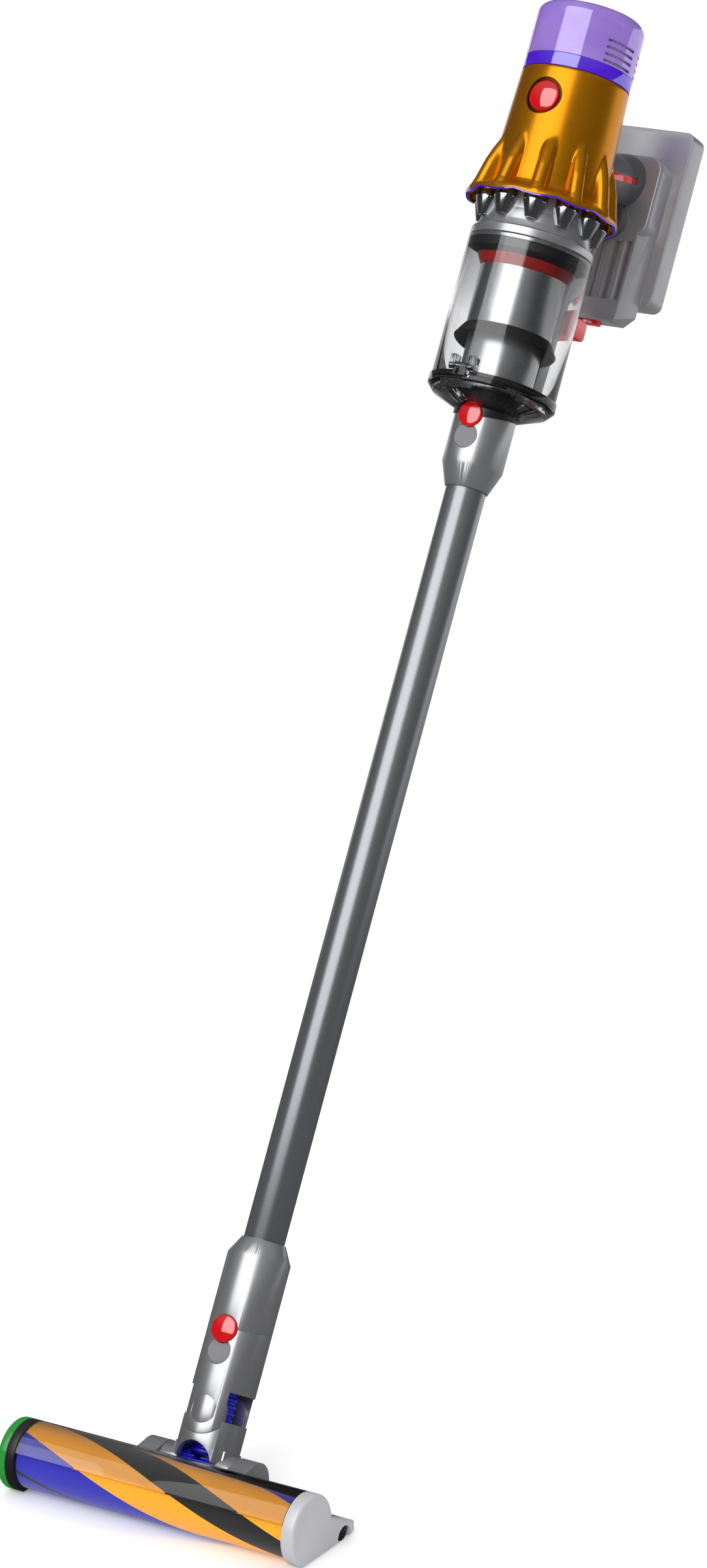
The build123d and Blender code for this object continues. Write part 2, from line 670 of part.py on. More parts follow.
def make_housing():
    shell = turned(housing_outside() + housing_inside())
    flute_low = crease - 4.5
    flute = Pos(0, 3.8 - housing_low_radius, flute_low) * Rot(-7, 0, 0) * Cone(
        10.5, 1.5, flute_height, align=(Align.CENTER, Align.CENTER, Align.MIN))
    flute &= rod(skirt_radius - 2, flute_low, housing_low)
    flute -= rod(housing_low_radius - 1, 0, 2000)
    for copy in around(flute, cyclone_count, first_cusp + lobe_step / 2):
        shell += copy
    for copy in around(skirt_notch(0), cyclone_count, first_cusp):
        shell -= copy
    shell -= depth_rod(bezel_radius + seat_gap, -80, -20, power_station)
    save("motor_housing", shell)

    band = ring(skirt_radius - 0.3, skirt_radius - 1.9, skirt_tip - gasket_thickness,
                skirt_tip + skirt_drop)
    above = band
    for notch in around(skirt_notch(0), cyclone_count, first_cusp):
        above -= notch
    for notch in around(skirt_notch(-gasket_thickness), cyclone_count, first_cusp):
        band -= notch
    save("skirt_gasket", band - above)

    front = -housing_low_radius
    button_back = front + power_depth
    bezel = depth_rod(bezel_radius, front - 20, button_back + 6, power_station)
    bezel &= rod(housing_low_radius - bezel_recess, 0, 2000)
    bezel -= depth_rod(power_radius + run_gap, front - 20, button_back + power_travel + 1, power_station)
    bezel -= depth_rod(power_stem + shaft_gap, front - 20, button_back + 20, power_station)
    save("button_bezel", bezel)

    button = depth_rod(power_radius, front - 0.6, button_back, power_station)
    button = fillet(button.edges().sort_by(Axis.Y)[0], 1.6)
    button += depth_rod(power_stem, button_back, button_back + 5, power_station)
    save("power_button", button)


def make_motor():
    motor_low = housing_low - 8
    motor_high = motor_low + motor_length
    room = motor_radius - 2
    case = ring(motor_radius, room, motor_low, motor_high)
    for low in (motor_low, motor_high - 3):
        case += ring(room, shaft_radius + 5, low, low + 3)
    arms = [Rot(0, 0, 60 + n * 120) * slab(-2, 2, room, housing_low_radius - housing_wall - 0.6,
                                           motor_low + 10, motor_low + 16) for n in range(3)]
    for arm in arms:
        case += arm
    case -= ring(60, housing_low_radius - housing_wall - 0.5, 0, 2000)
    case -= ring(room, shaft_radius + 5, motor_low + 3, motor_high - 3)
    save("motor_case", case)

    bearings = [ring(shaft_radius + 5 - seat_gap, shaft_radius + shaft_gap, low, low + 3)
                for low in (motor_low, motor_high - 3)]
    save("motor_bearings", bearings)
    save("rotor_shaft", rod(shaft_radius, motor_low - 6, motor_high + 2) + rod(11, motor_low + 16,
                                                                               motor_high - 8))
    impeller = turned([(shaft_radius, motor_low + 4.5), (impeller_radius, motor_low + 4.5),
                       (impeller_radius, motor_low + 6), (8, motor_low + 14), (shaft_radius,
                                                                               motor_low + 14)])
    save("impeller", impeller)
    board_low = motor_high + 2
    board = ring(housing_top_radius - housing_wall - 0.4, 12, board_low, board_low + 1.6)
    for x in (-20, 20):
        board += rod(5, board_low + 1.6, board_low + 3, x=x)
    save("control_board", board)


# ================= filter and screen =================
def make_filter():
    low = housing_high + run_gap
    radius = housing_top_radius
    arc_centre = (radius - filter_round, filter_high - filter_round)
    arc_middle = (arc_centre[0] + filter_round * sin(radians(45)),
                  arc_centre[1] + filter_round * cos(radians(45)))
    inner_round = filter_round - filter_wall
    inner_middle = (arc_centre[0] + inner_round * sin(radians(45)),
                    arc_centre[1] + inner_round * cos(radians(45)))
    band_top = low + band_height
    outline = [Line((radius, band_top), (radius, arc_centre[1])),
               ThreePointArc((radius, arc_centre[1]), arc_middle, (arc_centre[0], filter_high)),
               Line((arc_centre[0], filter_high), (filter_bore - 2, filter_high)),
               Line((filter_bore - 2, filter_high), (filter_bore - 2, filter_high - filter_wall)),
               Line((filter_bore - 2, filter_high - filter_wall),
                    (arc_centre[0], filter_high - filter_wall)),
               ThreePointArc((arc_centre[0], filter_high - filter_wall), inner_middle,
                             (radius - filter_wall, arc_centre[1])),
               Line((radius - filter_wall, arc_centre[1]), (radius - filter_wall, band_top)),
               Line((radius - filter_wall, band_top), (radius, band_top))]
    shell = revolve(Plane.XZ * make_face(outline), Axis.Z)
    for n in range(4):
        station = band_top + 1.2 + n * louvre_pitch
        slot = slab(-14, 14, -radius - 5, -radius + 10, station, station + louvre_height)
        for angle in (-126, -72, 72, 126):
            shell -= Rot(0, 0, angle) * slot
    save("filter_shell", shell)
    band = ring(radius, filter_bore, low, low + 2) + ring(radius, radius - filter_wall, low, band_top)
    save("filter_band", band)
    pleat_low, pleat_high = low + 2, filter_high - filter_round
    pleats = 40
    star = []
    for n in range(2 * pleats):
        reach = radius - filter_wall - 1 if n % 2 else filter_bore + 3
        star.append((reach * cos(radians(n * 180 / pleats)), reach * sin(radians(n * 180 / pleats))))
    media = Pos(0, 0, pleat_low) * extrude(make_face(Polyline(*star, close=True)), pleat_high - pleat_low)
    media -= rod(filter_bore + 0.2, 0, 2000)
    save("filter_media", media)

    post = ring(screen_radius, screen_radius - 2, housing_high - 6, filter_high - 4)
    post += rod(screen_radius, filter_high - 6,
                filter_high - 4) + ring(housing_top_radius - housing_wall - 0.5,
                                                                       screen_radius - 2, housing_high - 6,
                                                                       housing_high - 3)
    save("screen_post", post)
    save("screen_lens", rod(screen_radius - 1, filter_high - 4, filter_high - 2))


# ================= handle and battery =================
def make_handle():
    grip_low = housing_high - grip_low_below_top
    half = grip_height / 2
    centre = Pos(0, block_front, housing_high - grip_centre_below_top) * Rot(grip_rise, 0, 0)
    bar = extrude(Plane.XZ * Ellipse(grip_half, half), 75)
    root = loft([Plane.XZ.offset(14) * Ellipse(grip_half - 0.5, half - 0.5),
                 Plane.XZ.offset(-6) * Ellipse(grip_root_half, half + 3)])
    lobe = Pos(0, block_front - 9, grip_low - 8) * Rot(-90, 0, 0) * Cylinder(
        15, 9, align=(Align.CENTER, Align.CENTER, Align.MIN))
    grip = centre * bar + centre * root + lobe
    grip &= slab(-60, 60, 0, block_front, 0, 2000)
    reach = turned([(0, grip_low - 40), (skirt_radius + 0.4, skirt_tip), (skirt_radius - 1, skirt_tip + 6),
                    (crease_radius + 8, housing_low - 20), (housing_low_radius + 2, housing_low - 3),
                    (housing_low_radius + 0.1, housing_low), (housing_top_radius + 0.1, housing_high + 1),
                    (0, housing_high + 1)])
    grip -= reach
    groove = centre * slab(grip_half - 3, grip_half + 2, housing_low_radius + 6 - block_front, -8, -0.8,
                           4.7)
    save("grip_stripe", groove & (centre * bar))
    save("handle_grip", grip - groove)

    low = housing_high - block_low_below_top
    high = housing_high - block_high_below_top
    pad_low = grip_low - 18
    pad = slab(-block_half, block_half, block_front, block_back, pad_low, high)
    pad = fillet(pad.edges().filter_by(Axis.Y), 12)
    pad = fillet(pad.faces().sort_by(Axis.Y)[0].edges(), 2.5)
    outline = Polyline((-block_front_half, block_front), (block_front_half, block_front),
                       (block_half, block_back - 2),
                       (block_half, block_back), (-block_half, block_back), (-block_half,
                                                                             block_back - 2), close=True)
    lower = Pos(0, 0, low) * extrude(make_face(outline), pad_low + 14 - low)
    mask = slab(-block_half, block_half, block_front, block_back, low, pad_low + 14)
    lower &= chamfer(mask.edges().filter_by(Axis.Y).group_by(Axis.Z)[0], 8)
    block = pad + lower
    panel_low, panel_high = low + 16, grip_low - 22
    block -= slab(-panel_half, panel_half, block_front - 1, block_front + 4, panel_low, panel_high)
    for x in (-16.5, -5.5, 5.5, 16.5):
        block += rod(rib_radius, panel_low, panel_high, x=x, y=block_front + rib_radius + 0.4)
    block -= slab(-12 - run_gap, 12 + run_gap, block_back - 14 - run_gap, 200, low + 24, low + 60)
    block -= slab(-9 - run_gap, 9 + run_gap, block_back - 13 - run_gap, block_back - 5 + run_gap, low - 1,
                  low + 5)
    save("handle_base", block)

    push = slab(-9, 9, block_back - 13, block_back - 5, low - 3, low + 3)
    push = fillet(push.edges().filter_by(Axis.Y).group_by(Axis.Z)[0], 1.5)
    save("battery_release", push)


def make_battery():
    front = block_back + seat_gap
    back = front + battery_depth
    low = housing_high - battery_low_below_top
    high = housing_high + battery_rise
    case = slab(-battery_half, battery_half, front, back, low, high)
    case = fillet(case.edges().filter_by(Axis.Y), 7)
    case = fillet(case.faces().sort_by(Axis.Y)[-1].edges(), 4)
    plug_low = housing_high - block_low_below_top + 24 + run_gap
    cells = []
    for x in [(n - 1.5) * cell_pitch for n in range(4)]:
        for z_low in (low + 3, low + 71):
            cell = rod(cell_radius - 0.3, z_low, z_low + 65, x=x, y=(front + back) / 2)
            cells.append(cell)
            case -= rod(cell_radius, z_low - 0.3, z_low + 65.3, x=x, y=(front + back) / 2)
    case += slab(-12, 12, block_back - 14, front + 1, plug_low, plug_low + 36 - 2 * run_gap)
    save("battery_case", case)
    save("battery_cells", cells)


rear_wheel_y = pivot_y + 7
side_wheel_y = roller_y + 41.5
head_button = head_seam - 3.6
wand_button = wand_seam - 3.3
power_station = housing_high - power_station_below_top
release_station = bin_high - 36.5

make_head()
make_head_ends()
make_roller()
make_neck()
make_head_collar()
make_wand()
make_bin()
make_bin_base()
make_shroud()
make_cyclones()
make_housing()
make_motor()
make_filter()
make_handle()
make_battery()
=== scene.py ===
import json
from math import atan2, cos, pi, radians, sin, sqrt, tan
import bmesh
import bpy
import numpy as np
from mathutils import Matrix, Vector


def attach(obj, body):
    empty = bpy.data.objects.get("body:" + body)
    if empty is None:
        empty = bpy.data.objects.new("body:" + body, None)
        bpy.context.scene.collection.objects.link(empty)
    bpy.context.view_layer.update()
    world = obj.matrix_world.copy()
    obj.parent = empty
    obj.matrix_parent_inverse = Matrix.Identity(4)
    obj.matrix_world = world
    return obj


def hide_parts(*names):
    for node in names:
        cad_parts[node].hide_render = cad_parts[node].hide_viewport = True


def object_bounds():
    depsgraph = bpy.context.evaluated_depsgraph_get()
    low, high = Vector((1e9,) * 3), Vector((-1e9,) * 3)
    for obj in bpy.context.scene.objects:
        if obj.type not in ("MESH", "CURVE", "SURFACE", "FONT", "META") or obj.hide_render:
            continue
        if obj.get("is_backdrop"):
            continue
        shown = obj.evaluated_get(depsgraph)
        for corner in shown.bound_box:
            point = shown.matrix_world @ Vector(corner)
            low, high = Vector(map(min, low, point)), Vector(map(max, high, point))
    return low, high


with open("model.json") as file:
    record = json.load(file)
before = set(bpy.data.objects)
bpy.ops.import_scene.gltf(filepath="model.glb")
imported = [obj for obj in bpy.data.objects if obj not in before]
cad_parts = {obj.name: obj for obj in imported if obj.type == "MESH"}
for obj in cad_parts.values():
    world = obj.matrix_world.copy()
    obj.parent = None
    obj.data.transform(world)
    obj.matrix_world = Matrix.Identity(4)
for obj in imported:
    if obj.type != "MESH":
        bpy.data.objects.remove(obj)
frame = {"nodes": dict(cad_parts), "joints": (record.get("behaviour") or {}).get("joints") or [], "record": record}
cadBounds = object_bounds()
scene = bpy.context.scene
joints = {joint["name"]: joint for joint in frame["joints"]}

# Two working frames in millimetres. The wand frame has z along the wand, y to the back and the tilt pin
# at its station; the floor frame is the record's own.
along = -Vector(joints["wand_pull"]["axis"]).normalized()
back = Vector(joints["power_press"]["axis"]).normalized()
tiltStation = 63.5  # of the neck's tilt pin above the wand frame's start, in mm
wandStart = Vector(joints["neck_tilt"]["pos_m"]) - along * tiltStation / 1000
wandFrame = Matrix.Translation(wandStart) @ Matrix((Vector((1, 0, 0)), back, along)).transposed().to_4x4()
wandFrame = wandFrame @ Matrix.Diagonal((0.001, 0.001, 0.001, 1))
floorFrame = Matrix.Diagonal((0.001, 0.001, 0.001, 1))


def span(node, base=wandFrame):
    # lowest and highest corner of a CAD node in a working frame, in mm
    data = frame["nodes"][node].data
    points = np.zeros(len(data.vertices) * 3)
    data.vertices.foreach_get("co", points)
    turn = np.array(base.inverted())
    local = points.reshape(-1, 3) @ turn[:3, :3].T + turn[:3, 3]
    return local.min(0), local.max(0)


# A noise lies mostly between these two values, so a map range that starts from them uses its whole result
noiseRange = {1: 0.3, 2: 0.7}


def hexColour(text):
    # sRGB hex to linear
    parts = [int(text[n:n + 2], 16) / 255 for n in (1, 3, 5)]
    return tuple(p / 12.92 if p <= 0.04045 else ((p + 0.055) / 1.055) ** 2.4 for p in parts) + (1.0,)


def addNode(tree, kind, settings=None, links=None):
    # settings are attributes of the node or, by name or number, values of its inputs
    node = tree.nodes.new(kind)
    for key, value in (settings or {}).items():
        if isinstance(key, str) and hasattr(node, key):
            setattr(node, key, value)
        else:
            node.inputs[key].default_value = value
    for key, socket in (links or {}).items():
        tree.links.new(socket, node.inputs[key])
    return node


def newMaterial(name, shaderSettings):
    material = bpy.data.materials.new(name)
    material.use_nodes = True
    tree = material.node_tree
    tree.nodes.clear()
    shader = addNode(tree, "ShaderNodeBsdfPrincipled", shaderSettings)
    addNode(tree, "ShaderNodeOutputMaterial", links={"Surface": shader.outputs["BSDF"]})
    return material, tree, shader


def localCoords(tree, base, stretch=(1, 1, 1)):
    # Object coordinates turned into a working frame, in mm, optionally stretched along its axes
    coords = addNode(tree, "ShaderNodeTexCoord")
    place = base.decompose()
    scale = [place[2][n] / stretch[n] for n in range(3)]
    return addNode(tree, "ShaderNodeMapping", {
        "vector_type": "TEXTURE", "Location": place[0], "Rotation": place[1].to_euler(), "Scale": scale,
    }, {"Vector": coords.outputs["Object"]}).outputs["Vector"]


def moulded(name, settings):
    # Shared build of a hard surface: colour drift, a roughness map and a fine bump, sizes in mm
    shader = {"Roughness": settings["roughness"], "Metallic": settings.get("metallic", 0.0)}
    shader.update(settings.get("shader", {}))
    material, tree, surface = newMaterial(name, shader)
    coords = localCoords(tree, settings.get("base", wandFrame), settings.get("stretch", (1, 1, 1)))
    patterns = {"drift": (settings.get("driftMm", 40), 2.0, 0.5), "grain": (settings["grainMm"], 3.0, 0.6),
                "smear": (14, 4.0, 0.65)}
    noise = {}
    for label, (sizeMm, detail, rough) in patterns.items():
        cloud = addNode(tree, "ShaderNodeTexNoise", {
            "Scale": 1.0 / sizeMm, "Detail": detail, "Roughness": rough}, {"Vector": coords})
        noise[label] = cloud.outputs["Fac"]
    share = addNode(tree, "ShaderNodeMapRange", {**noiseRange, 3: 0, 4: 1}, {0: noise["drift"]})
    colour = addNode(tree, "ShaderNodeMix", {
        "data_type": "RGBA", 6: hexColour(settings["colour"]), 7: hexColour(settings["shade"])},
        {0: share.outputs[0]})
    tree.links.new(colour.outputs[2], surface.inputs["Base Color"])
    swing = settings["roughnessSwing"]
    polish = addNode(tree, "ShaderNodeMapRange", {
        **noiseRange, 3: settings["roughness"] - swing, 4: settings["roughness"] + swing}, {0: noise["smear"]})
    tree.links.new(polish.outputs[0], surface.inputs["Roughness"])
    bump = addNode(tree, "ShaderNodeBump", {"Strength": settings["bump"], "Distance": settings["bumpMm"] / 1000},
                   {"Height": noise["grain"]})
    tree.links.new(bump.outputs["Normal"], surface.inputs["Normal"])
    return material


finishes = {}

# anodised aluminium, dyed amber: metal under a coloured oxide, so the highlights stay amber
finishes["amber"] = moulded("anodisedAluminiumAmber", {
    "colour": "#CC8406", "shade": "#C67F03", "metallic": 0.82, "roughness": 0.27, "roughnessSwing": 0.015,
    "grainMm": 0.5, "bump": 0.015, "bumpMm": 0.03})
# the same oxide on the bezel round the button, painted much darker: painted shade of the recess round the button
finishes["amberPaintedShade"] = moulded("anodisedAmberPaintedShade", {
    "colour": "#4A2A04", "shade": "#422503", "metallic": 0.85, "roughness": 0.3, "roughnessSwing": 0.03,
    "grainMm": 0.5, "bump": 0.02, "bumpMm": 0.03})
# ABS with silver lacquer: fine metal flake under a clear satin coat
finishes["silver"] = moulded("silverLacqueredAbs", {
    "colour": "#B6B7B9", "shade": "#AEAFB2", "metallic": 0.82, "roughness": 0.29, "roughnessSwing": 0.02,
    "grainMm": 0.35, "bump": 0.03, "bumpMm": 0.03})
# polished silver lacquer of the cyclone cones
finishes["polished"] = moulded("polishedSilverLacquer", {
    "colour": "#BDBEC0", "shade": "#B2B3B6", "metallic": 1.0, "roughness": 0.12, "roughnessSwing": 0.02,
    "grainMm": 0.5, "bump": 0.02, "bumpMm": 0.03})
# silver-grey lacquer of the handle base and battery, softer than on the collars
finishes["handleSilver"] = moulded("satinSilverLacquer", {
    "colour": "#A9A9AD", "shade": "#A1A1A5", "metallic": 0.6, "roughness": 0.33, "roughnessSwing": 0.03,
    "grainMm": 0.35, "bump": 0.04, "bumpMm": 0.03})
# drawn aluminium tube, anodised graphite: the drawing lines run lengthways
finishes["graphite"] = moulded("anodisedAluminiumGraphite", {
    "colour": "#96989D", "shade": "#8A8C91", "metallic": 0.82, "roughness": 0.27, "roughnessSwing": 0.03,
    "grainMm": 0.6, "stretch": (1, 1, 0.03), "bump": 0.10, "bumpMm": 0.05})
# glass-filled nylon of the grip, dark and satin
finishes["grip"] = moulded("satinNylonGrey", {
    "colour": "#6B6C70", "shade": "#5D5E62", "metallic": 0.55, "roughness": 0.33, "roughnessSwing": 0.05,
    "grainMm": 0.5, "bump": 0.12, "bumpMm": 0.05})
# moulded ABS, light grey, fine spark-eroded texture
finishes["lightGrey"] = moulded("mouldedAbsLightGrey", {
    "colour": "#C6C6CA", "shade": "#BDBDC2", "metallic": 0.15, "roughness": 0.42, "roughnessSwing": 0.05,
    "grainMm": 0.45, "bump": 0.18, "bumpMm": 0.05})
# the same, darker: saddle, bin runner, thumb hollows and inner parts
finishes["midGrey"] = moulded("mouldedAbsGrey", {
    "colour": "#77777B", "shade": "#6B6B70", "metallic": 0.1, "roughness": 0.45, "roughnessSwing": 0.05,
    "grainMm": 0.45, "bump": 0.18, "bumpMm": 0.05})
# black acetal, self-coloured and a little shiny
finishes["black"] = moulded("acetalBlack", {
    "colour": "#1B1B1D", "shade": "#141416", "roughness": 0.38, "roughnessSwing": 0.06,
    "grainMm": 0.5, "bump": 0.12, "bumpMm": 0.05})
# nitrile rubber: matt, slightly dusty
finishes["rubber"] = moulded("nitrileRubberBlack", {
    "colour": "#0B0B0C", "shade": "#141415", "roughness": 0.5, "roughnessSwing": 0.06,
    "grainMm": 0.8, "bump": 0.25, "bumpMm": 0.08})
# polished red ABS of the buttons
finishes["red"] = moulded("polishedAbsRed", {
    "colour": "#C80008", "shade": "#B80006", "roughness": 0.09, "roughnessSwing": 0.02,
    "grainMm": 1.2, "bump": 0.03, "bumpMm": 0.05, "shader": {"Specular IOR Level": 1.0, "IOR": 1.7}})
# polypropylene, tinted deep red, of the cone inside the bin
finishes["redRing"] = moulded("polypropyleneRed", {
    "colour": "#B81410", "shade": "#A0100C", "roughness": 0.30, "roughnessSwing": 0.05,
    "grainMm": 0.8, "bump": 0.08, "bumpMm": 0.05})
# thermoplastic elastomer hose, strong blue
finishes["blue"] = moulded("elastomerBlue", {
    "colour": "#1414B8", "shade": "#0E0EA6", "roughness": 0.36, "roughnessSwing": 0.06,
    "grainMm": 0.7, "bump": 0.10, "bumpMm": 0.05})
# ground steel of pins and bearings
finishes["steel"] = moulded("groundSteel", {
    "colour": "#A9ABAE", "shade": "#9C9EA2", "metallic": 1.0, "roughness": 0.28, "roughnessSwing": 0.05,
    "grainMm": 0.3, "bump": 0.08, "bumpMm": 0.03})
# deep purple ABS of the band under the filter
finishes["purple"] = moulded("polishedAbsPurple", {
    "colour": "#4A12C8", "shade": "#3C0CB4", "roughness": 0.08, "roughnessSwing": 0.02,
    "grainMm": 0.8, "bump": 0.02, "bumpMm": 0.03, "shader": {"Specular IOR Level": 1.0, "IOR": 1.75}})
# wool felt, dense and matt
finishes["felt"] = moulded("woolFeltBlack", {
    "colour": "#1F1F21", "shade": "#2B2B2E", "roughness": 0.95, "roughnessSwing": 0.03,
    "grainMm": 0.9, "bump": 0.6, "bumpMm": 0.3, "base": floorFrame})
# glass-fibre filter paper, faintly lilac inside the tinted shell
finishes["paper"] = moulded("filterPaper", {
    "colour": "#E9E2F2", "shade": "#DCD3EA", "roughness": 0.85, "roughnessSwing": 0.05,
    "grainMm": 0.6, "bump": 0.3, "bumpMm": 0.1})


def clearPlastic(name, tint, roughness, transmission=1.0, extra=None):
    # clear plastic: nearly no colour, faint moulding haze
    haze = {"sizeMm": 22, "detail": 3.0, "rough": 0.5, "roughnessAdded": 0.03}
    shader = {"Roughness": roughness, "IOR": 1.45, "Transmission Weight": transmission}
    shader.update(extra or {})
    material, tree, surface = newMaterial(name, shader)
    cloud = addNode(tree, "ShaderNodeTexNoise", {
        "Scale": 1.0 / haze["sizeMm"], "Detail": haze["detail"], "Roughness": haze["rough"]},
        {"Vector": localCoords(tree, wandFrame)}).outputs["Fac"]
    share = addNode(tree, "ShaderNodeMapRange", {**noiseRange, 3: 0, 4: 1}, {0: cloud})
    colour = addNode(tree, "ShaderNodeMix", {
        "data_type": "RGBA", 6: hexColour(tint[0]), 7: hexColour(tint[1])}, {0: share.outputs[0]})
    tree.links.new(colour.outputs[2], surface.inputs["Base Color"])
    polish = addNode(tree, "ShaderNodeMapRange", {
        **noiseRange, 3: roughness, 4: roughness + haze["roughnessAdded"]}, {0: cloud})
    tree.links.new(polish.outputs[0], surface.inputs["Roughness"])
    return material


# bin and hood: clear, so that what is inside shows
finishes["clear"] = clearPlastic("clearPolycarbonate", ("#FCFCFD", "#F8F9FA"), 0.015, 1.0,
                                 {"Specular IOR Level": 0.3})
# bin base: the same plastic, a little grey
finishes["smoked"] = clearPlastic("smokedPolycarbonate", ("#CFD0D2", "#C2C3C6"), 0.03)
# filter shell: half see-through purple, with strong highlights
finishes["tinted"] = clearPlastic("tintedPolycarbonatePurple", ("#C4A0FF", "#B890F8"), 0.03, 0.5,
                                  {"Specular IOR Level": 1.0, "IOR": 1.75})
# green lens of the head's lamp, faintly lit
finishes["lens"] = clearPlastic("tintedAcrylicGreen", ("#3FAE50", "#349A44"), 0.10, 0.5,
                                {"Emission Color": hexColour("#30C850"), "Emission Strength": 0.06})
# dark window of the display
finishes["screen"] = clearPlastic("smokedAcrylic", ("#101014", "#0C0C10"), 0.06, 0.0)


def perforatedMetal():
    # thin steel screen: staggered rows of tiny round holes, not cut but shown as dots painted dark with a soft rim:
    # painted shade inside the holes
    holes = {"pitchMm": 0.9, "rowMm": 0.8, "radiusMm": 0.22, "rimMm": 0.06, "screenRadiusMm": 32.25}
    material, tree, surface = newMaterial("perforatedSteel", {"Metallic": 0.95, "Roughness": 0.26})
    coords = localCoords(tree, wandFrame)
    axes = addNode(tree, "ShaderNodeSeparateXYZ", links={0: coords})
    angle = addNode(tree, "ShaderNodeMath", {"operation": "ARCTAN2"}, {0: axes.outputs["Y"], 1: axes.outputs["X"]})
    arc = addNode(tree, "ShaderNodeMath", {"operation": "MULTIPLY", 1: holes["screenRadiusMm"]},
                  {0: angle.outputs[0]})
    row = addNode(tree, "ShaderNodeMath", {"operation": "DIVIDE", 1: holes["rowMm"]}, {0: axes.outputs["Z"]})
    rowNumber = addNode(tree, "ShaderNodeMath", {"operation": "FLOOR"}, {0: row.outputs[0]})
    odd = addNode(tree, "ShaderNodeMath", {"operation": "MULTIPLY", 1: holes["pitchMm"] / 2},
                  {0: rowNumber.outputs[0]})
    moved = addNode(tree, "ShaderNodeMath", {"operation": "ADD"}, {0: arc.outputs[0], 1: odd.outputs[0]})
    across = addNode(tree, "ShaderNodeMath", {"operation": "PINGPONG", 1: holes["pitchMm"] / 2},
                     {0: moved.outputs[0]})
    height = addNode(tree, "ShaderNodeMath", {"operation": "FRACT"}, {0: row.outputs[0]})
    centred = addNode(tree, "ShaderNodeMath", {"operation": "SUBTRACT", 1: 0.5}, {0: height.outputs[0]})
    upward = addNode(tree, "ShaderNodeMath", {"operation": "MULTIPLY", 1: holes["rowMm"]}, {0: centred.outputs[0]})
    offset = addNode(tree, "ShaderNodeCombineXYZ", links={0: across.outputs[0], 1: upward.outputs[0]})
    distance = addNode(tree, "ShaderNodeVectorMath", {"operation": "LENGTH"}, {0: offset.outputs[0]})
    solid = addNode(tree, "ShaderNodeMapRange", {
        1: holes["radiusMm"] - holes["rimMm"], 2: holes["radiusMm"] + holes["rimMm"], 3: 0, 4: 1},
        {0: distance.outputs["Value"]}).outputs[0]
    # holes painted darker than the steel: painted shade inside the holes
    colour = addNode(tree, "ShaderNodeMix", {
        "data_type": "RGBA", 6: hexColour("#6E6F72"), 7: hexColour("#B4B5B8")}, {0: solid})
    tree.links.new(colour.outputs[2], surface.inputs["Base Color"])
    bump = addNode(tree, "ShaderNodeBump", {"Strength": 0.4, "Distance": 0.0002}, {"Height": solid})
    tree.links.new(bump.outputs["Normal"], surface.inputs["Normal"])
    return material


def napCloth():
    # woven roller cloth: soft nylon pile in helical stripes, blue, amber and black carbon filament
    stripes = {"leadMm": 430.0, "phase": -0.053, "pileMm": 0.9}
    material, tree, surface = newMaterial("wovenNylonPile", {"Roughness": 0.85, "Sheen Weight": 0.35,
                                                             "Sheen Roughness": 0.5})
    coords = localCoords(tree, Matrix.Translation(joints["roller_spin"]["pos_m"]) @ floorFrame)
    axes = addNode(tree, "ShaderNodeSeparateXYZ", links={0: coords})
    angle = addNode(tree, "ShaderNodeMath", {"operation": "ARCTAN2"}, {0: axes.outputs["Z"], 1: axes.outputs["Y"]})
    turns = addNode(tree, "ShaderNodeMath", {"operation": "DIVIDE", 1: 2 * pi}, {0: angle.outputs[0]})
    shift = addNode(tree, "ShaderNodeMath", {"operation": "DIVIDE", 1: stripes["leadMm"]}, {0: axes.outputs["X"]})
    total = addNode(tree, "ShaderNodeMath", {"operation": "SUBTRACT"}, {0: turns.outputs[0], 1: shift.outputs[0]})
    moved = addNode(tree, "ShaderNodeMath", {"operation": "ADD", 1: stripes["phase"]}, {0: total.outputs[0]})
    cycle = addNode(tree, "ShaderNodeMath", {"operation": "FRACT"}, {0: moved.outputs[0]})
    ramp = addNode(tree, "ShaderNodeValToRGB", links={0: cycle.outputs[0]})
    ramp.color_ramp.interpolation = "CONSTANT"
    bands = [(0.0, "#FFA800"), (0.19, "#101012"), (0.33, "#FFA800"), (0.51, "#0E0EB0"), (0.71, "#101012"),
             (0.73, "#0E0EB0")]
    for stop, (place, colour) in zip(ramp.color_ramp.elements, bands):
        stop.position, stop.color = place, hexColour(colour)
    for place, colour in bands[2:]:
        ramp.color_ramp.elements.new(place).color = hexColour(colour)
    pile = addNode(tree, "ShaderNodeTexNoise", {"Scale": 1.0 / stripes["pileMm"], "Detail": 3.0, "Roughness": 0.7},
                   {"Vector": coords}).outputs["Fac"]
    share = addNode(tree, "ShaderNodeMapRange", {**noiseRange, 3: 0, 4: 1}, {0: pile})
    shadow = addNode(tree, "ShaderNodeMix", {
        "data_type": "RGBA", 6: hexColour("#FFFFFF"), 7: hexColour("#C8C8C8")}, {0: share.outputs[0]})
    shaded = addNode(tree, "ShaderNodeMix", {"data_type": "RGBA", "blend_type": "MULTIPLY", 0: 0.5},
                     {6: ramp.outputs["Color"], 7: shadow.outputs[2]})
    tree.links.new(shaded.outputs[2], surface.inputs["Base Color"])
    bump = addNode(tree, "ShaderNodeBump", {"Strength": 0.5, "Distance": 0.0004}, {"Height": pile})
    tree.links.new(bump.outputs["Normal"], surface.inputs["Normal"])
    return material


finishes["nap"] = napCloth()
finishes["meshMetal"] = perforatedMetal()
print("finishes made:", len(finishes))


def meshObject(name, vertices, faces):
    data = bpy.data.meshes.new(name)
    data.from_pydata([tuple(v) for v in vertices], [], faces)
    piece = bpy.data.objects.new(name, data)
    scene.collection.objects.link(piece)
    return piece


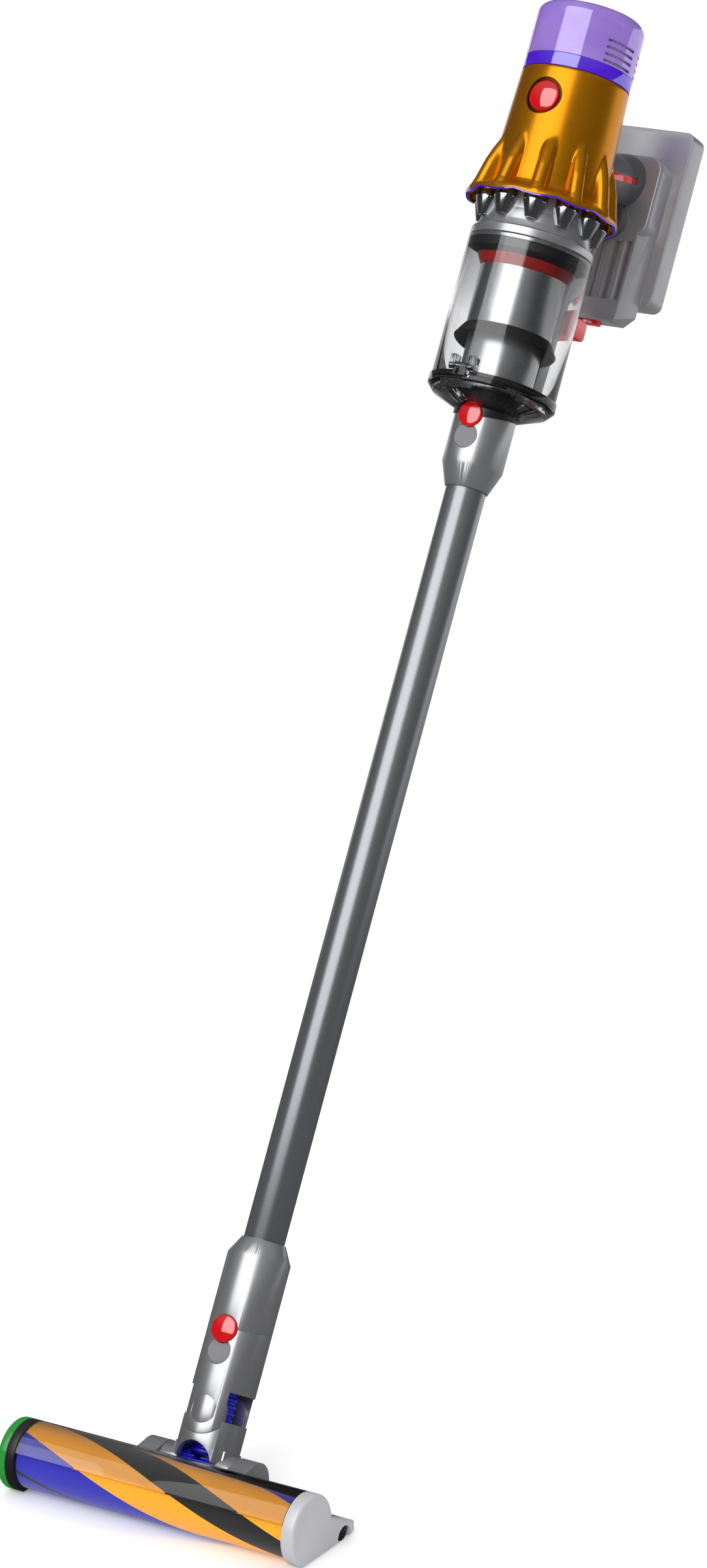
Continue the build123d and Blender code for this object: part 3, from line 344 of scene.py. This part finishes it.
def cleaned(piece, sharp=32, weld=1e-5):
    # doubles merged, faces pointing out, edges sharper than the angle kept crisp
    mesh = bmesh.new()
    mesh.from_mesh(piece.data)
    bmesh.ops.remove_doubles(mesh, verts=mesh.verts, dist=weld)
    bmesh.ops.dissolve_degenerate(mesh, dist=weld / 10, edges=mesh.edges)
    bmesh.ops.recalc_face_normals(mesh, faces=mesh.faces)
    mesh.to_mesh(piece.data)
    mesh.free()
    piece.data.shade_smooth()
    piece.data.set_sharp_from_angle(angle=radians(sharp))
    return piece


def ringShell(name, rings, closed=True):
    # rings of points, closed round the ring, then either last ring to first or with a cap at each end
    rings = np.asarray(rings, float)
    rows, columns = rings.shape[:2]
    faces = [] if closed else [tuple(range(columns)), tuple(range((rows - 1) * columns, rows * columns))]
    for r in range(rows if closed else rows - 1):
        s = (r + 1) % rows
        for c in range(columns):
            d = (c + 1) % columns
            faces.append((r * columns + c, r * columns + d, s * columns + d, s * columns + c))
    return cleaned(meshObject(name, rings.reshape(-1, 3), faces))


def roundCorners(points, steps=4):
    # closed outline of (radius, height, corner radius); each corner becomes an arc
    result = []
    count = len(points)
    for n, point in enumerate(points):
        here = Vector(point[:2])
        size = point[2] if len(point) > 2 else 0
        before, after = Vector(points[n - 1][:2]) - here, Vector(points[(n + 1) % count][:2]) - here
        if size <= 0 or before.length < 1e-6 or after.length < 1e-6:
            result.append(tuple(here))
            continue
        half = before.angle(after) / 2
        if abs(half - pi / 2) < 0.01:
            result.append(tuple(here))
            continue
        cut = min(size / tan(half), before.length * 0.49, after.length * 0.49)
        size = cut * tan(half)
        centre = here + (before.normalized() + after.normalized()).normalized() * (size / sin(half))
        start, end = here + before.normalized() * cut, here + after.normalized() * cut
        first = atan2(*(start - centre).yx)
        turn = (atan2(*(end - centre).yx) - first + pi) % (2 * pi) - pi
        for k in range(steps + 1):
            angle = first + turn * k / steps
            result.append((centre.x + size * cos(angle), centre.y + size * sin(angle)))
    return result


def lathe(name, outline, segments=128):
    # turned body about the working frame's z from a closed outline
    rings = []
    for radius, height in outline:
        turn = np.arange(segments) * 2 * pi / segments
        rings.append(np.stack([radius * np.sin(turn), -radius * np.cos(turn), np.full(segments, height)], 1))
    return ringShell(name, rings)


def crossLathe(name, outline, segments=128):
    # turned body about X from (radius, x)
    piece = lathe(name, outline, segments)
    piece.data.transform(Matrix.Rotation(pi / 2, 4, "Y"))
    return piece


def applied(piece):
    # modifiers turned into the mesh
    bpy.context.view_layer.update()
    data = bpy.data.meshes.new_from_object(piece.evaluated_get(bpy.context.evaluated_depsgraph_get()))
    for modifier in list(piece.modifiers):
        piece.modifiers.remove(modifier)
    piece.data = data
    return piece


def cutWith(piece, cutters):
    for cutter in cutters:
        modifier = piece.modifiers.new("cut", "BOOLEAN")
        modifier.operation, modifier.solver, modifier.object = "DIFFERENCE", "EXACT", cutter
        applied(piece)
        bpy.data.objects.remove(cutter)
    return piece


def softened(piece, width, segments=2):
    # small moulded radius on every edge that turns by more than 38 degrees, width in the piece's own units
    bevel = piece.modifiers.new("radius", "BEVEL")
    bevel.width, bevel.segments, bevel.limit_method, bevel.angle_limit = width, segments, "ANGLE", radians(38)
    bevel.use_clamp_overlap, bevel.harden_normals = True, False
    return applied(piece)


def settle(piece, finish, body, nodes=(), base=wandFrame):
    # into the record's frame, with its finish, riding on its body
    piece.data.transform(base)
    piece.data.materials.clear()
    piece.data.materials.append(finishes[finish])
    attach(piece, body)
    if nodes:
        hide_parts(*nodes)
    return piece


def bodyOf(node):
    return next(body for body, members in frame["record"]["behaviour"]["bodies"].items() if node in members)


def refined(node, name, finish, width, segments=2):
    # CAD shape with its edges softened: welded copy, flat faces joined, then a small radius in mm
    piece = bpy.data.objects.new(name, frame["nodes"][node].data.copy())
    scene.collection.objects.link(piece)
    mesh = bmesh.new()
    mesh.from_mesh(piece.data)
    bmesh.ops.remove_doubles(mesh, verts=mesh.verts, dist=2e-6)
    bmesh.ops.dissolve_degenerate(mesh, dist=1e-6, edges=mesh.edges)
    bmesh.ops.dissolve_limit(mesh, angle_limit=radians(0.6), verts=mesh.verts, edges=mesh.edges)
    mesh.to_mesh(piece.data)
    mesh.free()
    softened(piece, width / 1000, segments)
    piece.data.shade_smooth()
    piece.data.set_sharp_from_angle(angle=radians(32))
    return settle(piece, finish, bodyOf(node), (node,), base=Matrix.Identity(4))


def plain(node, finish):
    # a CAD node whose shape is right as it is
    data = frame["nodes"][node].data
    data.materials.clear()
    data.materials.append(finishes[finish])


def repeatTree():
    # copies of the piece, each turned about z and shifted from the one before
    tree = bpy.data.node_groups.new("repeatAbout", "GeometryNodeTree")
    sockets = tree.interface
    sockets.new_socket("Geometry", in_out="INPUT", socket_type="NodeSocketGeometry")
    for label, kind in (("Count", "NodeSocketInt"), ("Turn", "NodeSocketFloat"), ("Shift", "NodeSocketVector"),
                        ("Material", "NodeSocketMaterial")):
        sockets.new_socket(label, in_out="INPUT", socket_type=kind)
    sockets.new_socket("Geometry", in_out="OUTPUT", socket_type="NodeSocketGeometry")
    entry = addNode(tree, "NodeGroupInput")
    line = addNode(tree, "GeometryNodeMeshLine", {"mode": "OFFSET"},
                   {"Count": entry.outputs["Count"], "Offset": entry.outputs["Shift"]})
    index = addNode(tree, "GeometryNodeInputIndex")
    turn = addNode(tree, "ShaderNodeMath", {"operation": "MULTIPLY"},
                   {0: index.outputs[0], 1: entry.outputs["Turn"]})
    axis = addNode(tree, "ShaderNodeCombineXYZ", links={"Z": turn.outputs[0]})
    copies = addNode(tree, "GeometryNodeInstanceOnPoints", links={
        "Points": line.outputs["Mesh"], "Instance": entry.outputs["Geometry"], "Rotation": axis.outputs[0]})
    real = addNode(tree, "GeometryNodeRealizeInstances", links={0: copies.outputs[0]})
    painted = addNode(tree, "GeometryNodeSetMaterial", links={
        "Geometry": real.outputs[0], "Material": entry.outputs["Material"]})
    addNode(tree, "NodeGroupOutput", links={0: painted.outputs[0]})
    return tree


repeatNodes = repeatTree()


def repeated(piece, count, finish, turnDegrees=0.0, shift=(0, 0, 0)):
    modifier = piece.modifiers.new("repeat", "NODES")
    modifier.node_group = repeatNodes
    values = {"Count": count, "Turn": radians(turnDegrees), "Shift": tuple(float(s) for s in shift),
              "Material": finishes[finish]}
    for item in repeatNodes.interface.items_tree:
        if item.in_out == "INPUT" and item.name in values:
            modifier[item.identifier] = values[item.name]
    return applied(piece)


print("tools ready")


def fluted():
    # amber shell: eleven cone-shaped flutes run down into a scalloped skirt
    shape = {"lobes": 11, "firstCusp": 5.5, "edgeCusp": 970.0, "edgeLobe": 968.1, "edgePower": 1.7, "top": 1069.5,
             "wall": 2.2, "perLobe": 44, "fluteRadius": 6.6, "roundShare": 0.93, "sideSlope": 4.0, "leastReach": 40,
             "blend": 0.45, "mostRadius": 57.25, "lip": (0.5, 0.15), "hole": 14.35}
    # (station, radius) of the shell between the flutes, then of the ridge of a flute
    base = [(965, 57.2), (971.0, 57.2), (972.4, 56.4), (974.0, 53.2), (976.4, 47.6), (978.6, 45.1), (981, 44.1),
            (986, 43.6), (1020, 42.3), (1068.6, 40.45), (1069.5, 39.9)]
    ridge = [(965, 57.2), (971, 57.2), (975, 56.0), (978, 54.9), (984.6, 53.3), (994, 51.0), (1004, 47.4),
             (1012, 43.9), (1017.5, 41.9), (1024, 38.0), (1069.5, 30)]
    columns = shape["lobes"] * shape["perLobe"]
    angle = shape["firstCusp"] + np.arange(columns) * 360 / columns
    lobe = 360 / shape["lobes"]
    offset = (angle - shape["firstCusp"]) % lobe - lobe / 2
    scallop = np.abs(offset / (lobe / 2)) ** shape["edgePower"]
    edge = shape["edgeLobe"] + (shape["edgeCusp"] - shape["edgeLobe"]) * scallop
    levels = np.concatenate([np.linspace(971.9, 981, 16), np.linspace(982.2, 1022, 34), [1030, 1044, 1058, 1067],
                             [1068.6, 1069.2, shape["top"]]])
    rows = [edge + lift for lift in (0.0, 0.2, 0.5, 1.0)] + [np.full(columns, level) for level in levels]
    outside, inside = [], []
    for n, height in enumerate(rows):
        low = np.interp(height, *zip(*base))
        high = np.interp(height, *zip(*ridge))
        # round flute: a tube of one radius whose middle line leans outwards, blended into the shell
        across = np.abs(np.radians(offset)) * np.maximum(high, shape["leastReach"])
        size, roundEnd = shape["fluteRadius"], shape["roundShare"] * shape["fluteRadius"]
        sag = size - np.sqrt(np.maximum(size ** 2 - np.minimum(across, roundEnd) ** 2, 0))
        sag = sag + np.maximum(across - roundEnd, 0) * shape["sideSlope"]
        radius = shape["blend"] * np.logaddexp(low / shape["blend"], (high - sag) / shape["blend"])
        radius = np.minimum(radius, shape["mostRadius"])
        if n < len(shape["lip"]):
            radius = radius - shape["lip"][n]
        ring = np.stack([radius * np.sin(np.radians(angle)), -radius * np.cos(np.radians(angle)), height], 1)
        outside.append(ring)
        shrink = (radius - shape["wall"]) / radius
        if n % 2 == 0 or n > len(rows) - 3:
            inside.append(ring * np.stack([shrink, shrink, np.ones(columns)], 1))
    piece = ringShell("motorHousing", outside + inside[::-1])
    station = sum(span("power_button")[n][2] for n in (0, 1)) / 2
    hole = crossLathe("bezelHole", [(0.0, -80), (shape["hole"], -80), (shape["hole"], -20), (0.0, -20)], 96)
    hole.data.transform(Matrix.Translation((0, 0, station)) @ Matrix.Rotation(pi / 2, 4, "Z"))
    cleaned(cutWith(piece, [hole]), 50)
    settle(piece, "amber", "main", ("motor_housing",))

    # thin purple seal that follows the scalloped edge
    seal = {"out": 56.9, "in": 55.4, "rise": 1.5, "drop": 0.75, "swell": 0.15}
    around = np.radians(angle)
    rings = []
    for radius, lift in ((seal["in"], seal["rise"]), (seal["out"], seal["rise"]), (seal["out"] + seal["swell"], 0.0),
                         (seal["out"], -seal["drop"]), (seal["in"], -seal["drop"])):
        rings.append(np.stack([radius * np.sin(around), -radius * np.cos(around), edge + lift], 1))
    settle(ringShell("skirtSeal", rings), "purple", "main", ("skirt_gasket",))


def cyclones():
    # ring of small cones; outlines are (radius, station, corner radius)
    shape = {"count": 11, "circle": 41.5, "tipRadius": 4.6, "topRadius": 9.2, "low": 952.6, "skirt": 966.4,
             "high": 974.6, "wall": 1.2, "bore": 2.2, "firstTurn": 5.5 + 180 / 11}
    outline = roundCorners([(shape["bore"] - 0.2, shape["low"] + 0.8), (shape["tipRadius"], shape["low"], 1.6),
                            (shape["topRadius"] - 0.1, shape["skirt"] - 0.6, 5.0),
                            (shape["topRadius"], shape["high"], 0.3),
                            (shape["topRadius"] - shape["wall"], shape["high"], 0.3),
                            (shape["bore"], shape["low"] + 4)], 5)
    cone = lathe("cycloneCones", outline, 48)
    cone.data.transform(Matrix.Rotation(radians(shape["firstTurn"]), 4, "Z")
                        @ Matrix.Translation((0, -shape["circle"], 0)))
    cleaned(repeated(cone, shape["count"], "polished", 360 / shape["count"]), 40)
    settle(cone, "polished", "main", ("cyclone_cones",))
    carrierOutline = [
        (20.1, 936.2), (43.2, 936.2, 0.3), (43.2, 939.3, 0.2), (46.2, 939.3, 0.5), (46.2, 945.6, 1.0),
        (43.5, 946.4, 0.6), (42.0, 951.5, 2.0), (40.4, 960.0, 3.0), (39.2, 977.8), (20.1, 977.8)]
    settle(lathe("cycloneBody", roundCorners(carrierOutline, 5), 144), "silver", "main", ("cyclone_body",))


def binAndShroud():
    # turned pieces: node, piece, finish, body, outline of (radius, station, corner radius), arc steps, segments
    low, high = span("bin_shell")
    tubeLow, tubeHigh = span("shroud_tube")
    ductLow, ductHigh = span("inlet_duct")
    meshLow, meshHigh = span("shroud_mesh")
    turned = (
        ("bin_shell", "binShell", "clear", "bin", [
            (45.2, low[2], 0.4), (46.68, low[2], 0.6), (46.68, high[2], 0.6), (45.2, high[2], 0.5)], 4, 160),
        ("bin_seal", "binSeal", "rubber", "main", [
            (30.4, 926.0), (37.0, 926.0, 0.3), (44.9, 929.0, 0.8), (44.9, 936.0, 0.8), (30.4, 936.0)], 4, 128),
        ("shroud_ring", "shroudRing", "redRing", "main", [
            (30.4, 918.0), (32.5, 918.0, 0.2), (37.0, 925.9, 0.4), (30.4, 925.9)], 4, 128),
        ("wiper_skirt", "wiperSkirt", "rubber", "main", [
            (28.5, 874.9, 0.1), (33.4, 874.9, 0.8), (39.2, 865.9, 0.3), (37.5, 865.9, 0.3), (31.4, 872.5),
            (28.5, 872.5)], 4, 128),
        ("shroud_tube", "shroudTube", "silver", "main", [
            (26.6, tubeLow[2]), (28.45, tubeLow[2], 0.3), (28.45, tubeHigh[2], 0.2), (20.2, tubeHigh[2]),
            (20.2, tubeHigh[2] - 2.9), (26.6, tubeHigh[2] - 2.9)], 3, 128),
        ("inlet_duct", "inletDuct", "midGrey", "main", [
            (18.45, ductLow[2]), (19.9, ductLow[2]), (19.9, ductHigh[2]), (18.45, ductHigh[2])], 1, 96),
        ("shroud_mesh", "shroudMesh", "meshMetal", "main", [
            (31.35, meshLow[2]), (32.25, meshLow[2]), (32.25, meshHigh[2]), (31.35, meshHigh[2])], 1, 144),
    )
    for node, name, finish, body, outline, steps, segments in turned:
        settle(lathe(name, roundCorners(outline, steps), segments), finish, body, (node,))


def filterAndScreen():
    # see-through shell with four columns of vent slots, the band at its foot and the pleated paper inside
    shape = {"radius": 40.38, "wall": 1.9, "low": 1079.9, "high": 1122.0, "round": 17.5, "bore": 23.2,
             "louvres": 4, "pitch": 5.2, "first": 1081.1, "slot": 2.1, "reach": 14, "slotEdge": 0.9,
             "angles": (-126, -72, 72, 126)}
    outline = roundCorners([
        (shape["radius"], shape["low"], 0.4), (shape["radius"], shape["high"], shape["round"]),
        (shape["bore"], shape["high"], 0.6), (shape["bore"], shape["high"] - shape["wall"], 0.4),
        (shape["radius"] - shape["wall"], shape["high"] - shape["wall"], shape["round"] - shape["wall"]),
        (shape["radius"] - shape["wall"], shape["low"], 0.3)], 14)
    shell = lathe("filterShell", outline, 180)
    slots = []
    for angle in shape["angles"]:
        bar = meshObject("slotCutter", [(x, y, z) for z in (0, shape["slot"]) for y in (-60, -32)
                                        for x in (-shape["reach"], shape["reach"])],
                         [(0, 1, 3, 2), (4, 6, 7, 5), (0, 4, 5, 1), (2, 3, 7, 6), (0, 2, 6, 4), (1, 5, 7, 3)])
        softened(bar, shape["slotEdge"], 3)
        bar.data.transform(Matrix.Rotation(radians(angle), 4, "Z") @ Matrix.Translation((0, 0, shape["first"])))
        slots.append(cleaned(repeated(bar, shape["louvres"], "tinted", shift=(0, 0, shape["pitch"]))))
    settle(cleaned(cutWith(shell, slots), 40), "tinted", "filter", ("filter_shell",))

    band = roundCorners([(38.4, 1079.8), (40.38, 1079.8, 0.3), (40.38, 1069.85, 0.4), (25.1, 1069.85),
                         (25.1, 1071.7), (38.4, 1071.7)], 4)
    settle(lathe("filterBand", band, 160), "purple", "filter", ("filter_band",))

    pleat = {"count": 64, "inner": 28.2, "outer": 37.0, "low": 1071.9, "high": 1104.5, "paper": 0.5, "tipDepth": 1.1}
    step = radians(180 / pleat["count"])
    foldOutline = [(pleat["inner"], -step), (pleat["outer"], 0), (pleat["inner"], step),
                   (pleat["inner"] - pleat["paper"], step), (pleat["outer"] - pleat["tipDepth"], 0),
                   (pleat["inner"] - pleat["paper"], -step)]
    corners = [(radius * sin(angle), -radius * cos(angle)) for radius, angle in foldOutline]
    points = [(x, y, z) for z in (pleat["low"], pleat["high"]) for x, y in corners]
    faces = [(n, (n + 1) % 6, (n + 1) % 6 + 6, n + 6) for n in range(6) if n not in (2, 5)]
    faces += [(0, 5, 4, 1), (1, 4, 3, 2), (6, 7, 10, 11), (7, 8, 9, 10)]
    fold = meshObject("filterMedia", points, faces)
    media = cleaned(repeated(fold, pleat["count"], "paper", 360 / pleat["count"]), 25, 2e-3)
    settle(media, "paper", "filter", ("filter_media",))
    refined("screen_post", "screenPost", "black", 0.4)
    refined("screen_lens", "screenLens", "screen", 0.4)


def domedButton(node, name, disc):
    # press button with a gently domed face, on its narrower stem
    shape = {"dome": 25.0, "stem": 2.9, "edge": 0.5}
    low, high = span(node)
    radius = (high[0] - low[0]) / 2
    outline = []
    for r in np.linspace(0, radius - shape["edge"], 12):
        outline.append((float(r), shape["dome"] - sqrt(shape["dome"] ** 2 - r ** 2)))
    outline += [(radius, outline[-1][1] + shape["edge"]), (radius, disc), (shape["stem"], disc),
                (shape["stem"], high[1] - low[1]), (0.0, high[1] - low[1])]
    piece = lathe(name, outline, 96)
    piece.data.transform(Matrix.Translation((0, low[1], (low[2] + high[2]) / 2)) @ Matrix.Rotation(-pi / 2, 4, "X"))
    settle(piece, "red", bodyOf(node), (node,))


def thumbRest(node, name, collar):
    # shallow floor of the thumb hollow below a press button
    shape = {"below": 16.0, "radius": 9.15, "front": -21.3, "thick": 0.8, "gap": 0.4, "pocketHalf": 6}
    low, high = span(node)
    radius, station = (high[0] - low[0]) / 2, (low[2] + high[2]) / 2
    turn = Matrix.Rotation(-pi / 2, 4, "X")
    rest = lathe(name, [(0, 0), (shape["radius"], 0), (shape["radius"], shape["thick"]), (0, shape["thick"])], 96)
    rest.data.transform(Matrix.Translation((0, shape["front"], station - shape["below"])) @ turn)
    reach, half = radius + shape["gap"], shape["pocketHalf"]
    pocket = lathe("pocket", [(0, -half), (reach, -half), (reach, half), (0, half)], 96)
    pocket.data.transform(Matrix.Translation((0, shape["front"], station)) @ turn)
    settle(cleaned(cutWith(rest, [pocket])), "midGrey", bodyOf(collar))


def wandAndNeck():
    low, high = span("wand_tube")
    tube = roundCorners([(13.4, low[2], 0.3), (15.0, low[2], 0.3), (15.0, high[2], 0.3), (13.4, high[2], 0.3)], 2)
    settle(lathe("wandTube", tube, 128), "graphite", "wand", ("wand_tube",))
    for node, name, finish, width, segments in (
            ("wand_collar_lower", "wandCollarLower", "silver", 0.5, 3),
            ("wand_collar_upper", "wandCollarUpper", "silver", 0.5, 3),
            ("head_collar", "headCollar", "silver", 0.5, 3), ("tilt_pins", "tiltPins", "silver", 0.3, 2)):
        refined(node, name, finish, width, segments)
    domedButton("wand_button", "wandButton", 5.6)
    domedButton("head_button", "headButton", 5.6)
    thumbRest("wand_button", "wandThumbRest", "wand_collar_upper")
    thumbRest("head_button", "headThumbRest", "head_collar")
    refined("neck_yoke", "neckYoke", "silver", 0.5, 3)

    # corrugated hose: a rounded rib every few millimetres
    hose = {"rib": 11.55, "valley": 10.2, "bore": 8.9, "pitch": 5.0, "round": 0.7}
    low, high = span("neck_hose")
    outline = [(hose["bore"], low[2])]
    level = low[2]
    while level + hose["pitch"] < high[2]:
        for share, radius in ((0.0, "valley"), (0.12, "valley"), (0.3, "rib"), (0.72, "rib"), (0.9, "valley")):
            outline.append((hose[radius], level + share * hose["pitch"], hose["round"]))
        level += hose["pitch"]
    outline += [(hose["valley"], high[2]), (hose["bore"], high[2])]
    settle(lathe("neckHose", roundCorners(outline, 3), 72), "blue", "neck", ("neck_hose",))
    refined("neck_bellows", "neckBellows", "blue", 0.25)


def floorHead():
    low, high = span("head_hood", floorFrame)
    axis = Vector(joints["roller_spin"]["pos_m"]) * 1000
    # a bent sheet about the roller's axis, from front to rear in degrees, slimmer at both long edges
    wall = {"out": 26.17, "in": 24.85, "front": 25.4, "rear": 184.6, "steps": 72, "edge": 0.55, "taper": 1.4}
    section = roundCorners([(wall["out"], low[0], 0.4), (wall["out"], high[0], 0.4), (wall["in"], high[0], 0.4),
                            (wall["in"], low[0], 0.4)], 3)
    rings = []
    middle = (wall["out"] + wall["in"]) / 2
    for angle in np.concatenate([[wall["front"], wall["front"] + 0.5], np.linspace(
            wall["front"] + wall["taper"], wall["rear"] - wall["taper"], wall["steps"]),
            [wall["rear"] - 0.5, wall["rear"]]]):
        edge = min(angle - wall["front"], wall["rear"] - angle)
        slim = wall["edge"] * max(0, 1 - edge / wall["taper"]) ** 2
        ring = [(x, middle + (radius - middle) * (1 - slim)) for radius, x in section]
        rings.append([(x, axis.y - out * cos(radians(angle)), axis.z + out * sin(radians(angle))) for x, out in ring])
    settle(ringShell("headHood", rings, closed=False), "clear", "head", ("head_hood",), base=floorFrame)

    low, high = span("roller_sleeve", floorFrame)
    sleeve = [(20.1, low[0]), (23.0, low[0], 0.8), (23.0, high[0], 0.8), (20.1, high[0])]
    piece = crossLathe("rollerSleeve", roundCorners(sleeve, 4), 160)
    piece.data.transform(Matrix.Translation(axis))
    settle(piece, "nap", "roller", ("roller_sleeve",), base=floorFrame)
    refined("roller_core", "rollerCore", "midGrey", 0.3)
    refined("head_base", "headBase", "midGrey", 0.5, 3)
    refined("end_cap", "endCap", "lightGrey", 0.5, 3)
    refined("end_plate", "endPlate", "black", 0.6, 3)
    refined("light_lens", "lightLens", "lens", 0.5, 3)
    refined("side_wheel", "sideWheel", "black", 0.6, 3)
    refined("rear_wheels", "rearWheels", "black", 0.6, 3)
    refined("sole_felt", "soleFelt", "felt", 0.3)


def handleAndBattery():
    refined("handle_grip", "handleGrip", "grip", 1.2, 4)
    refined("grip_stripe", "gripStripe", "red", 0.3)
    refined("handle_base", "handleBase", "handleSilver", 0.5, 3)
    refined("battery_case", "batteryCase", "handleSilver", 0.8, 3)
    refined("battery_release", "batteryRelease", "red", 0.4)
    domedButton("power_button", "powerButton", 6.6)
    # bezel in the recess round the power button: amber painted dark as painted shade of the recess
    refined("button_bezel", "buttonBezel", "amberPaintedShade", 0.5, 3)
    refined("bin_base", "binBase", "smoked", 0.4, 2)
    refined("bin_release", "binRelease", "red", 0.6, 3)
    refined("bin_runner", "binRunner", "midGrey", 0.6, 3)
    refined("base_catch", "baseCatch", "red", 0.4)
    refined("hinge_lugs", "hingeLugs", "smoked", 0.3)
    refined("inlet_socket", "inletSocket", "black", 0.4)
    refined("base_seal", "baseSeal", "rubber", 0.3)


fluted()
cyclones()
binAndShroud()
filterAndScreen()
print("cyclones, bin and filter made")
wandAndNeck()
floorHead()
handleAndBattery()
for node, finish in {"motor_case": "black", "motor_bearings": "steel", "rotor_shaft": "steel", "impeller": "midGrey",
                     "control_board": "black", "battery_cells": "midGrey", "roller_motor": "black",
                     "hinge_pin": "steel", "pitch_pins": "steel"}.items():
    plain(node, finish)
print("wand, head and handle made")


def studio():
    # pale seamless floor, wide enough to fill the view
    half, front, rear = 20, -8, 32  # metres
    ground = meshObject("studioFloor", [(-half, front, 0), (half, front, 0), (half, rear, 0), (-half, rear, 0)],
                        [(0, 1, 2, 3)])
    finishes["floor"] = moulded("paintedFloorWhite", {
        "colour": "#F6F6F6", "shade": "#F3F3F3", "roughness": 0.55, "roughnessSwing": 0.05, "grainMm": 2.0,
        "driftMm": 900, "bump": 0.05, "bumpMm": 0.1, "base": floorFrame,
        "shader": {"Emission Color": (1, 1, 1, 1), "Emission Strength": 0.16, "Specular IOR Level": 0.0}})
    # mirrored in the object, the floor is dark nearby and bright far behind, as if lit only at the back
    tree = finishes["floor"].node_tree
    surface = next(node for node in tree.nodes if node.type == "BSDF_PRINCIPLED")
    end = next(node for node in tree.nodes if node.type == "OUTPUT_MATERIAL")
    place = addNode(tree, "ShaderNodeSeparateXYZ", links={0: localCoords(tree, floorFrame)})
    glowMap = {"nearMm": 900.0, "farMm": 3500.0, "nearLevel": 0.07, "farLevel": 1.0}
    far = addNode(tree, "ShaderNodeMapRange", {
        1: glowMap["nearMm"], 2: glowMap["farMm"], 3: glowMap["nearLevel"], 4: glowMap["farLevel"]},
        {0: place.outputs["Y"]})
    glow = addNode(tree, "ShaderNodeEmission", {"Color": (1, 1, 1, 1)}, {"Strength": far.outputs[0]})
    path = addNode(tree, "ShaderNodeLightPath")
    shown = addNode(tree, "ShaderNodeMixShader", links={
        0: path.outputs["Is Glossy Ray"], 1: surface.outputs[0], 2: glow.outputs[0]})
    tree.links.new(shown.outputs[0], end.inputs["Surface"])
    ground.data.materials.append(finishes["floor"])
    ground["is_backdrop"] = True

    # The air lights the floor evenly but looks dark to polished surfaces near the horizon,
    # as black flags beside the object would make it
    world = bpy.data.worlds.new("studioAir")
    scene.world = world
    world.use_nodes = True
    tree = world.node_tree
    tree.nodes.clear()
    path = addNode(tree, "ShaderNodeLightPath")
    coords = addNode(tree, "ShaderNodeTexCoord")
    axes = addNode(tree, "ShaderNodeSeparateXYZ", links={0: coords.outputs["Generated"]})
    sky = {"horizon": 0.3, "horizonLevel": 0.05, "zenith": 1.0, "zenithLevel": 0.35, "airLevel": 0.95}
    dark = addNode(tree, "ShaderNodeMapRange", {
        1: sky["horizon"], 2: sky["zenith"], 3: sky["horizonLevel"], 4: sky["zenithLevel"]}, {0: axes.outputs["Z"]})
    level = addNode(tree, "ShaderNodeMix", {"data_type": "FLOAT", 2: sky["airLevel"]},
                    {0: path.outputs["Is Glossy Ray"], 3: dark.outputs[0]})
    air = addNode(tree, "ShaderNodeBackground", {"Color": (1, 1, 1, 1)}, {"Strength": level.outputs[0]})
    addNode(tree, "ShaderNodeOutputWorld", links={"Surface": air.outputs[0]})

    # a soft key for the matt surfaces, and a wide panel in front that only polished surfaces mirror
    for name, place, aim, size, power, mirrored in (
            ("softKey", (0.0, -2.6, 2.3), (0, 0.2, 0.6), (2.6, 2.0), 46, False),
            ("panelFront", (-0.245, -1.955, 2.65), (-0.245, 0.4, 0.8), (3.19, 3.6), 90, True)):
        light = bpy.data.lights.new(name, "AREA")
        light.shape, light.size, light.size_y, light.energy = "RECTANGLE", size[0], size[1], power
        lamp = bpy.data.objects.new(name, light)
        lamp.location = place
        lamp.rotation_euler = (Vector(aim) - Vector(place)).to_track_quat("-Z", "Y").to_euler()
        lamp.visible_glossy, lamp.visible_diffuse = mirrored, not mirrored
        scene.collection.objects.link(lamp)

    lens = bpy.data.cameras.new("camera")
    lens.lens, lens.sensor_width, lens.clip_end = 133.1, 36, 100
    camera = bpy.data.objects.new("camera", lens)
    camera.location = (2.0921, -3.1353, 1.7553)
    camera.rotation_euler = Vector((-0.5039, 0.80715, -0.3076)).to_track_quat("-Z", "Y").to_euler()
    scene.collection.objects.link(camera)
    scene.camera = camera
    scene.view_settings.view_transform = "Standard"


studio()
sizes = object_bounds()
for label, (low, high) in (("CAD", cadBounds), ("with looks", sizes)):
    print(label, "size in mm:", [round(1000 * (b - a), 1) for a, b in zip(low, high)])
